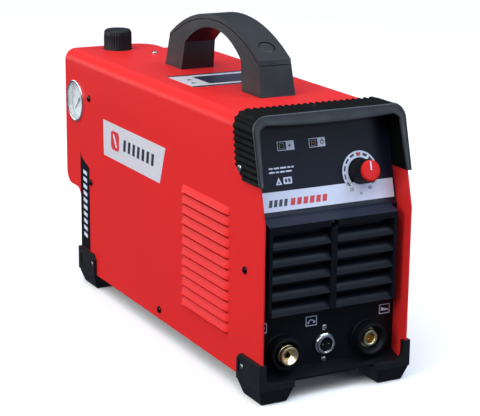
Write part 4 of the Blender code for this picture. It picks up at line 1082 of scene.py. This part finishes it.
def build_gauge():
    out = (-1.0, 0.0, 0.0)
    case = middle("gauge_case")
    centre = Vector((-HALF, case.y, case.z))
    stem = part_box("regulator_body")[0].x / MM + HALF
    rim = [(0.0, -18.0), (22.0, -18.0), (22.0, -1.0), (22.3, 1.4), (23.0, 1.9), (24.2, 2.0), (24.8, 1.7),
           (25.0, 1.1), (25.0, 0.05), (23.2, 0.05), (23.2, -20.0), (6.0, -22.0), (6.0, -stem + 0.3),
           (0.0, -stem + 0.3)]
    piece(turned(rim, centre, out, 128), "gauge_rim", CHROME, "gauge_case", angle=40.0)
    plate = [(0.0, -GAUGE_DIAL), (21.8, -GAUGE_DIAL), (21.8, -6.0), (0.0, -6.0)]
    piece(turned(plate, centre, out, 96), "gauge_plate", DIAL_WHITE, "gauge_dial")
    glass = [(0.0, 1.4), (12.0, 1.2), (19.0, 0.8), (21.8, 0.3), (21.8, -0.4), (0.0, -0.4)]
    piece(turned(glass, centre, out, 96), "gauge_glass", LENS_CLEAR, "gauge_lens")

    def on_dial(u, v, lift):
        return centre + Vector((GAUGE_DIAL - lift, -u, v))

    decal("gauge_ticks", gauge_ticks(), on_dial, 0.08, DARK_INK)
    decal("gauge_band", [band((0.0, 0.0), 14.4, 15.4, -45.0, 30.0, 16)], on_dial, 0.08, RED_INK)
    entries = []
    for i in range(6):
        angle = math.radians(GAUGE_START - GAUGE_SWEEP / 5.0 * i)
        entries.append((str(2 * i), 4.2, 12.6 * math.cos(angle), 12.6 * math.sin(angle)))
    figures("gauge_figures", entries, on_dial, 0.02)


def build_regulator():
    """Profiles are (radius, height above the ground), but the port's is (radius, distance out)."""
    spindle = middle("regulator_spindle")
    spot = (spindle.x, spindle.y, 0.0)
    up = (0.0, 0.0, 1.0)
    knob = [(0.0, 303.3), (9.0, 303.3), (9.8, 303.9), (13.2, 304.0), (14.2, 303.7), (15.4, 302.6, 0.3),
            (16.4, 300.9, 1.0), (16.75, 296.0, 1.0), (16.8, 281.2, 1.0), (16.8, 280.4), (16.8, 277.4),
            (16.4, 277.0), (13.4, 277.0), (13.4, 290.0), (4.3, 290.0), (4.3, 299.0), (0.0, 299.0)]
    piece(turned(knob, spot, up, 216, False, 36, 0.55), "regulator_cap", KNOB_BLACK,
          "regulator_knob", "regulator_knob")
    bowl = [(16.2, 206.7), (17.0, 206.2), (17.0, 199.0), (16.2, 198.4), (16.2, 196.6), (17.0, 196.0),
            (17.0, 152.0), (16.2, 147.8), (14.0, 144.2), (11.0, 141.6), (8.0, 140.2), (3.1, 140.0),
            (3.1, 143.0), (7.5, 143.0), (10.0, 144.6), (12.2, 147.4), (13.4, 150.4), (13.8, 153.0),
            (13.8, 206.7)]
    piece(turned(bowl, spot, up, 96, True), "filter_glass", BOWL_CLEAR, "filter_bowl",
          "filter_bowl")
    valve = [(0.0, 147.0), (2.7, 147.0), (2.7, 136.3), (4.8, 136.3), (5.5, 135.7, 1.0), (5.5, 129.6, 1.0),
             (5.0, 128.6), (3.6, 127.0), (0.0, 127.0)]
    piece(turned(valve, spot, up, 96, False, 16, 0.6), "drain_button", BRASS, "drain_valve",
          "drain_valve")
    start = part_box("air_inlet")[0].y / MM - 0.3
    port = [(0.0, 3.0), (3.6, 3.0), (4.2, 3.4), (4.2, 10.0), (5.2, 10.0), (5.7, 9.6), (6.0, 9.0),
            (6.0, 7.2), (7.2, 6.9), (7.8, 6.3), (7.8, 0.05), (0.0, 0.05)]
    piece(turned(port, (spindle.x, start, 227.0), (0, 1, 0), 72), "air_port", BRASS, "air_inlet",
          angle=28.0)


def build_cord_gland():
    gland = [(6.0, 16.2), (6.6, 17.0), (7.8, 17.0), (8.5, 16.4), (9.4, 14.6, 1.0), (11.0, 11.6, 1.0),
             (12.0, 11.0), (12.5, 10.4), (12.5, 0.05), (10.0, 0.05), (10.0, -12.0), (6.0, -12.0)]
    spot = middle("cord_gland")
    piece(turned(gland, (spot.x, back(REAR_BACK), spot.z), (0, 1, 0), 96, True, 12, 0.7), "gland_nut",
          PANEL_BLACK, "cord_gland")


def build_fan_guard():
    """Round wires in front of the fan, on four straight ones."""
    fan = middle("fan_frame")
    rear = back(REAR_BACK)
    wire = 0.9
    bm = bmesh.new()
    for radius in (12.0, 20.0, 28.0, 36.0, 43.0):
        section = [(radius + wire * math.cos(a), wire * math.sin(a))
                   for a in (math.tau * k / 10 for k in range(10))]
        turned_into(bm, section, (fan.x, rear + 3.2, fan.z), (0, 1, 0), 72, True)
    wires = [loose(bm)]
    for k in range(4):
        angle = math.pi / 4.0 + math.pi / 2.0 * k
        turn = Vector((math.cos(angle), 0.0, math.sin(angle)))
        wires.append(rod(Vector((fan.x, rear + 1.9, fan.z)) + turn * 29.5, turn, 1.1, 37.0, 16))
    piece(merge(*wires), "fan_guard", STEEL)


def dress_rocker():
    dress(NODES["switch_rocker"], KNOB_RED)
    soften(NODES["switch_rocker"], 0.5)


# ---------------------------------------------------------------- labels

LABEL = 0.12  # thickness of the labels


def build_side_label(place, word):
    """A pale label with a red tile, its slanting stripe and a row of bars."""
    outline = [(219.0, 214.8), (386.5, 214.8), (385.2, 173.2), (233.0, 173.2)]
    decal(f"side_label_{word}", [outline], place, LABEL, LABEL_WHITE, thickness=LABEL)
    tile = rounded(341.0, 364.0, 184.5, 206.5, 5.0, 6)
    decal(f"side_label_mark_{word}", [tile], place, LABEL + 0.08, RED_INK)
    stripe = slanted(346.5, 188.5, 4.0, 14.0, 8.0)
    decal(f"side_label_stripe_{word}", [stripe], place, LABEL + 0.16, WHITE_INK)
    marks = [slanted(323.5 - 12.4 * i, 188.5, 6.6, 13.5, -2.0) for i in range(7)]
    decal(f"side_label_bars_{word}", marks, place, LABEL + 0.08, DARK_INK)


def build_rear_strip():
    """A black strip along the rear edge of the left side, with a ladder of marks."""
    rear, width, top = 457.6, 27.4, 161.0
    curve = [(rear - width * t, top - 14.0 * t ** 0.6) for t in (0.0, 0.1, 0.25, 0.45, 0.7, 1.0)]
    strip = [(rear - width, 43.9), (rear, 43.9), *curve]
    decal("rear_strip", [strip], on_left, LABEL, BLACK_FILM, thickness=LABEL)
    marks = []
    for i in range(10):
        v = 58.0 + 8.6 * i
        marks.append([(438.0, v), (449.0, v + 1.6), (449.0, v + 6.2), (438.0, v + 4.6)])
    decal("rear_strip_marks", marks, on_left, LABEL + 0.08, WHITE_INK)


def build_top_label():
    """A pale label under the handle, with dark ends, a dark window and four triangles."""
    half, front, rear = 55.0, 208.0, 278.0
    decal("top_label", [rectangle(-half, half, front, rear)], on_top, LABEL, LABEL_WHITE, thickness=LABEL)
    dark = [rectangle(-half, half, front, 214.5), rectangle(-half, half, 272.5, rear),
            rectangle(-30.0, 30.0, 222.0, 264.0)]
    for x, distance in ((-45.0, 232.0), (-41.0, 250.0), (42.0, 232.0), (45.0, 250.0)):
        dark.append([(x - 3.4, distance - 3.0), (x + 3.4, distance - 3.0), (x, distance + 3.4)])
    decal("top_label_dark", dark, on_top, LABEL + 0.08, DARK_INK)


# ---------------------------------------------------------------- fasteners

def screw_shape(radius, height, shank, recess=0.9):
    """A pan-head screw with a cross recess, made along +Z with its seat at the origin."""
    head = [(0.0, height), (radius * 0.5, height * 0.96), (radius * 0.8, height * 0.8),
            (radius * 0.96, height * 0.5), (radius, height * 0.12), (radius, 0.05), (1.9, 0.05),
            (1.9, -shank), (0.0, -shank)]
    arm, half = radius * 0.62, radius * 0.13
    cross = [(arm, -half), (arm, half), (half, half), (half, arm), (-half, arm), (-half, half), (-arm, half),
             (-arm, -half), (-half, -half), (-half, -arm), (half, -arm), (half, -half)]
    return carve(turned(head, (0, 0, 0), (0, 0, 1), 40), prism(cross, "Z", height - recess, height + 1.0))


def screw_places(plain, small, foot_screws):
    """(shape, name, seat, direction, material, CAD node) of every screw."""
    places = []
    for side, word in SIDES:
        out = (side, 0.0, 0.0)
        for i, (distance, height) in enumerate(SIDE_SCREWS, 1):
            node = f"cover_screw_{word}_{i}"
            places.append((plain, node, (side * HALF, back(distance), height), out, DARK_STEEL, node))
        node = f"hood_screw_{word}"
        distance, height = HOOD_SCREW
        places.append((plain, node, (side * 85.1, back(distance), height), out, STEEL, node))
    up, ahead, behind = (0.0, 0.0, 1.0), (0.0, -1.0, 0.0), (0.0, 1.0, 0.0)
    hood_back, rear_back = TOP_SCREW_BACKS
    for node, distance, height in (("cover_screw_top", rear_back, CASE_TOP),
                                   ("hood_screw_top", hood_back, 282.0)):
        places.append((plain, node, (0.0, back(distance), height), up, STEEL, node))
    for i, spot in enumerate(foot_screws, 1):
        places.append((small, f"foot_screw_{i}", spot, (math.copysign(1.0, spot.x), 0.0, 0.0), STEEL, None))
    for i, height in enumerate((29.0, 63.0), 1):
        places.append((small, f"socket_screw_{i}", (0.0, back(PANEL_BACK), height), ahead, STEEL, None))
    places.append((small, "shelf_screw", (0.0, back(GRILLE_BACK + 4.5), 174.5), ahead, DARK_STEEL, None))
    for i, (x, z) in enumerate(((-27.0, 38.0), (67.0, 38.0), (-27.0, 132.0), (67.0, 132.0)), 1):
        places.append((small, f"fan_screw_{i}", (x, back(REAR_BACK), z), behind, STEEL, None))
    return places


def build_screws(foot_screws):
    """Each screw is turned 37 degrees further than the one before."""
    plain = screw_shape(3.9, 2.4, 5.0)
    small = screw_shape(3.3, 1.7, 3.0, 0.8)
    for turn, (shape, name, spot, out, look, node) in enumerate(screw_places(plain, small, foot_screws)):
        obj = link_object("screw", shape.data.copy())
        aim = Vector(out).to_track_quat("Z", "Y").to_matrix().to_4x4()
        spin = Matrix.Rotation(math.radians(37.0 * turn), 4, "Z")
        obj.data.transform(Matrix.Translation(Vector(spot) * MM) @ aim @ spin)
        piece(obj, f"{name}_head", look, node, angle=30.0)
    bpy.data.objects.remove(plain)
    bpy.data.objects.remove(small)


# ---------------------------------------------------------------- stage

CAMERA_SPOT = Vector((-0.7690, -1.4792, 0.5825))
CAMERA_YAW = 0.49183
CAMERA_PITCH = -0.26393
CAMERA_ROLL = 0.01158
CAMERA_LENS = 115.8
CASE_MIDDLE = (0.0, 0.0, 0.15)


def build_camera():
    data = bpy.data.cameras.new("camera")
    data.sensor_width = 36.0
    data.lens = CAMERA_LENS
    camera = link_object("camera", data)
    level = math.cos(CAMERA_PITCH)
    ahead = Vector((math.sin(CAMERA_YAW) * level, math.cos(CAMERA_YAW) * level, math.sin(CAMERA_PITCH)))
    right = ahead.cross(Vector((0.0, 0.0, 1.0))).normalized()
    up = right.cross(ahead)
    across = right * math.cos(CAMERA_ROLL) + up * math.sin(CAMERA_ROLL)
    upright = up * math.cos(CAMERA_ROLL) - right * math.sin(CAMERA_ROLL)
    turn = Matrix((across, upright, -ahead)).transposed().to_4x4()
    camera.matrix_world = Matrix.Translation(CAMERA_SPOT) @ turn
    bpy.context.scene.camera = camera


def shine(name, data, direction):
    """A lamp object that shines in a direction."""
    lamp = link_object(name, data)
    lamp.rotation_mode = "QUATERNION"
    lamp.rotation_quaternion = Vector(direction).to_track_quat("-Z", "Y")
    return lamp


def softbox(name, spot, target, size, power, colour=(1.0, 1.0, 1.0)):
    data = bpy.data.lights.new(name, "AREA")
    data.shape = "RECTANGLE"
    data.size, data.size_y = size
    data.energy = power
    data.color = colour
    shine(name, data, Vector(target) - Vector(spot)).location = spot


def daylight():
    data = bpy.data.lights.new("daylight", "SUN")
    data.energy = 1.85
    data.color = (1.0, 0.97, 0.93)
    data.angle = 1.1
    shine("daylight", data, (0.42, 0.3, -0.85))


def build_floor():
    """White paper; as if black cloth kept its reflected light off the case."""
    bm = bmesh.new()
    reach = 9000.0
    steps = 8
    rows = [[bm.verts.new((reach * (2.0 * i / steps - 1.0), reach * (2.0 * j / steps - 1.0), -0.3))
             for j in range(steps + 1)] for i in range(steps + 1)]
    skin_into(bm, rows)
    floor = loose(bm, "floor")
    paper = Look("floor_paper", 0.6)
    paper.colour(paper.noise(1.6, 3.0), (0.95, 0.945, 0.94), 0.01)
    paper.relief((paper.noise(240.0, 3.0), 0.03))
    floor.data.materials.append(paper.material)
    floor.visible_diffuse = False
    floor.visible_glossy = False


def build_world():
    """Light that is bright above and dim near the ground; the camera sees a plain pale backdrop."""
    world = bpy.data.worlds.new("studio")
    bpy.context.scene.world = world
    world.use_nodes = True
    tree = world.node_tree
    room = tree.nodes["Background"]
    height = add_node(tree, "SeparateXYZ")
    tree.links.new(add_node(tree, "TexCoord").outputs["Generated"], height.inputs[0])
    fade = add_node(tree, "ValToRGB")
    low, high = fade.color_ramp.elements
    low.position = 0.28
    low.color = (0.10, 0.12, 0.16, 1.0)
    high.position = 0.85
    high.color = (0.78, 0.87, 1.0, 1.0)
    tree.links.new(height.outputs["Z"], fade.inputs["Fac"])
    tree.links.new(fade.outputs["Color"], room.inputs["Color"])
    backdrop = add_node(tree, "Background", Color=(0.96, 0.965, 0.98, 1.0))
    seen = add_node(tree, "MixShader")
    tree.links.new(add_node(tree, "LightPath").outputs["Is Camera Ray"], seen.inputs["Fac"])
    tree.links.new(room.outputs["Background"], seen.inputs[1])
    tree.links.new(backdrop.outputs["Background"], seen.inputs[2])
    tree.links.new(seen.outputs["Shader"], tree.nodes["World Output"].inputs["Surface"])


def build_studio():
    """A pale studio, with most light from the left and from above."""
    bpy.context.scene.view_settings.view_transform = "Standard"
    build_floor()
    build_world()
    daylight()
    softbox("left_key", (-2.0, -0.4, 0.9), CASE_MIDDLE, (1.6, 1.1), 30.0)
    softbox("rear_left", (-1.35, 2.1, 0.55), (0.0, 0.0, 0.2), (1.3, 0.8), 9.0)
    softbox("overhead", (0.1, 0.1, 2.2), CASE_MIDDLE, (1.4, 1.8), 3.0)
    softbox("brow", (0.85, -0.75, 1.66), (0.0, -0.24, 0.15), (0.9, 0.7), 13.0, (0.6, 0.78, 1.0))
    softbox("front_fill", (1.1, -2.4, 0.7), CASE_MIDDLE, (1.2, 0.9), 12.0, (0.72, 0.85, 1.0))


def main():
    build_camera()
    dress_kept_nodes()
    dress_rocker()
    build_cover()
    build_hood()
    foot_screws = [build_foot(f"foot_{end_word}_{side_word}", side, end)
                   for end, end_word in ((-1, "front"), (1, "rear")) for side, side_word in SIDES]
    build_handle()
    build_control_prints()
    build_knob()
    build_front_moulding()
    build_socket_pictograms()
    build_sockets()
    build_gauge()
    build_regulator()
    build_cord_gland()
    build_fan_guard()
    build_side_label(on_left, "left")
    build_side_label(on_right, "right")
    build_rear_strip()
    build_top_label()
    build_screws(foot_screws)
    build_studio()


main()
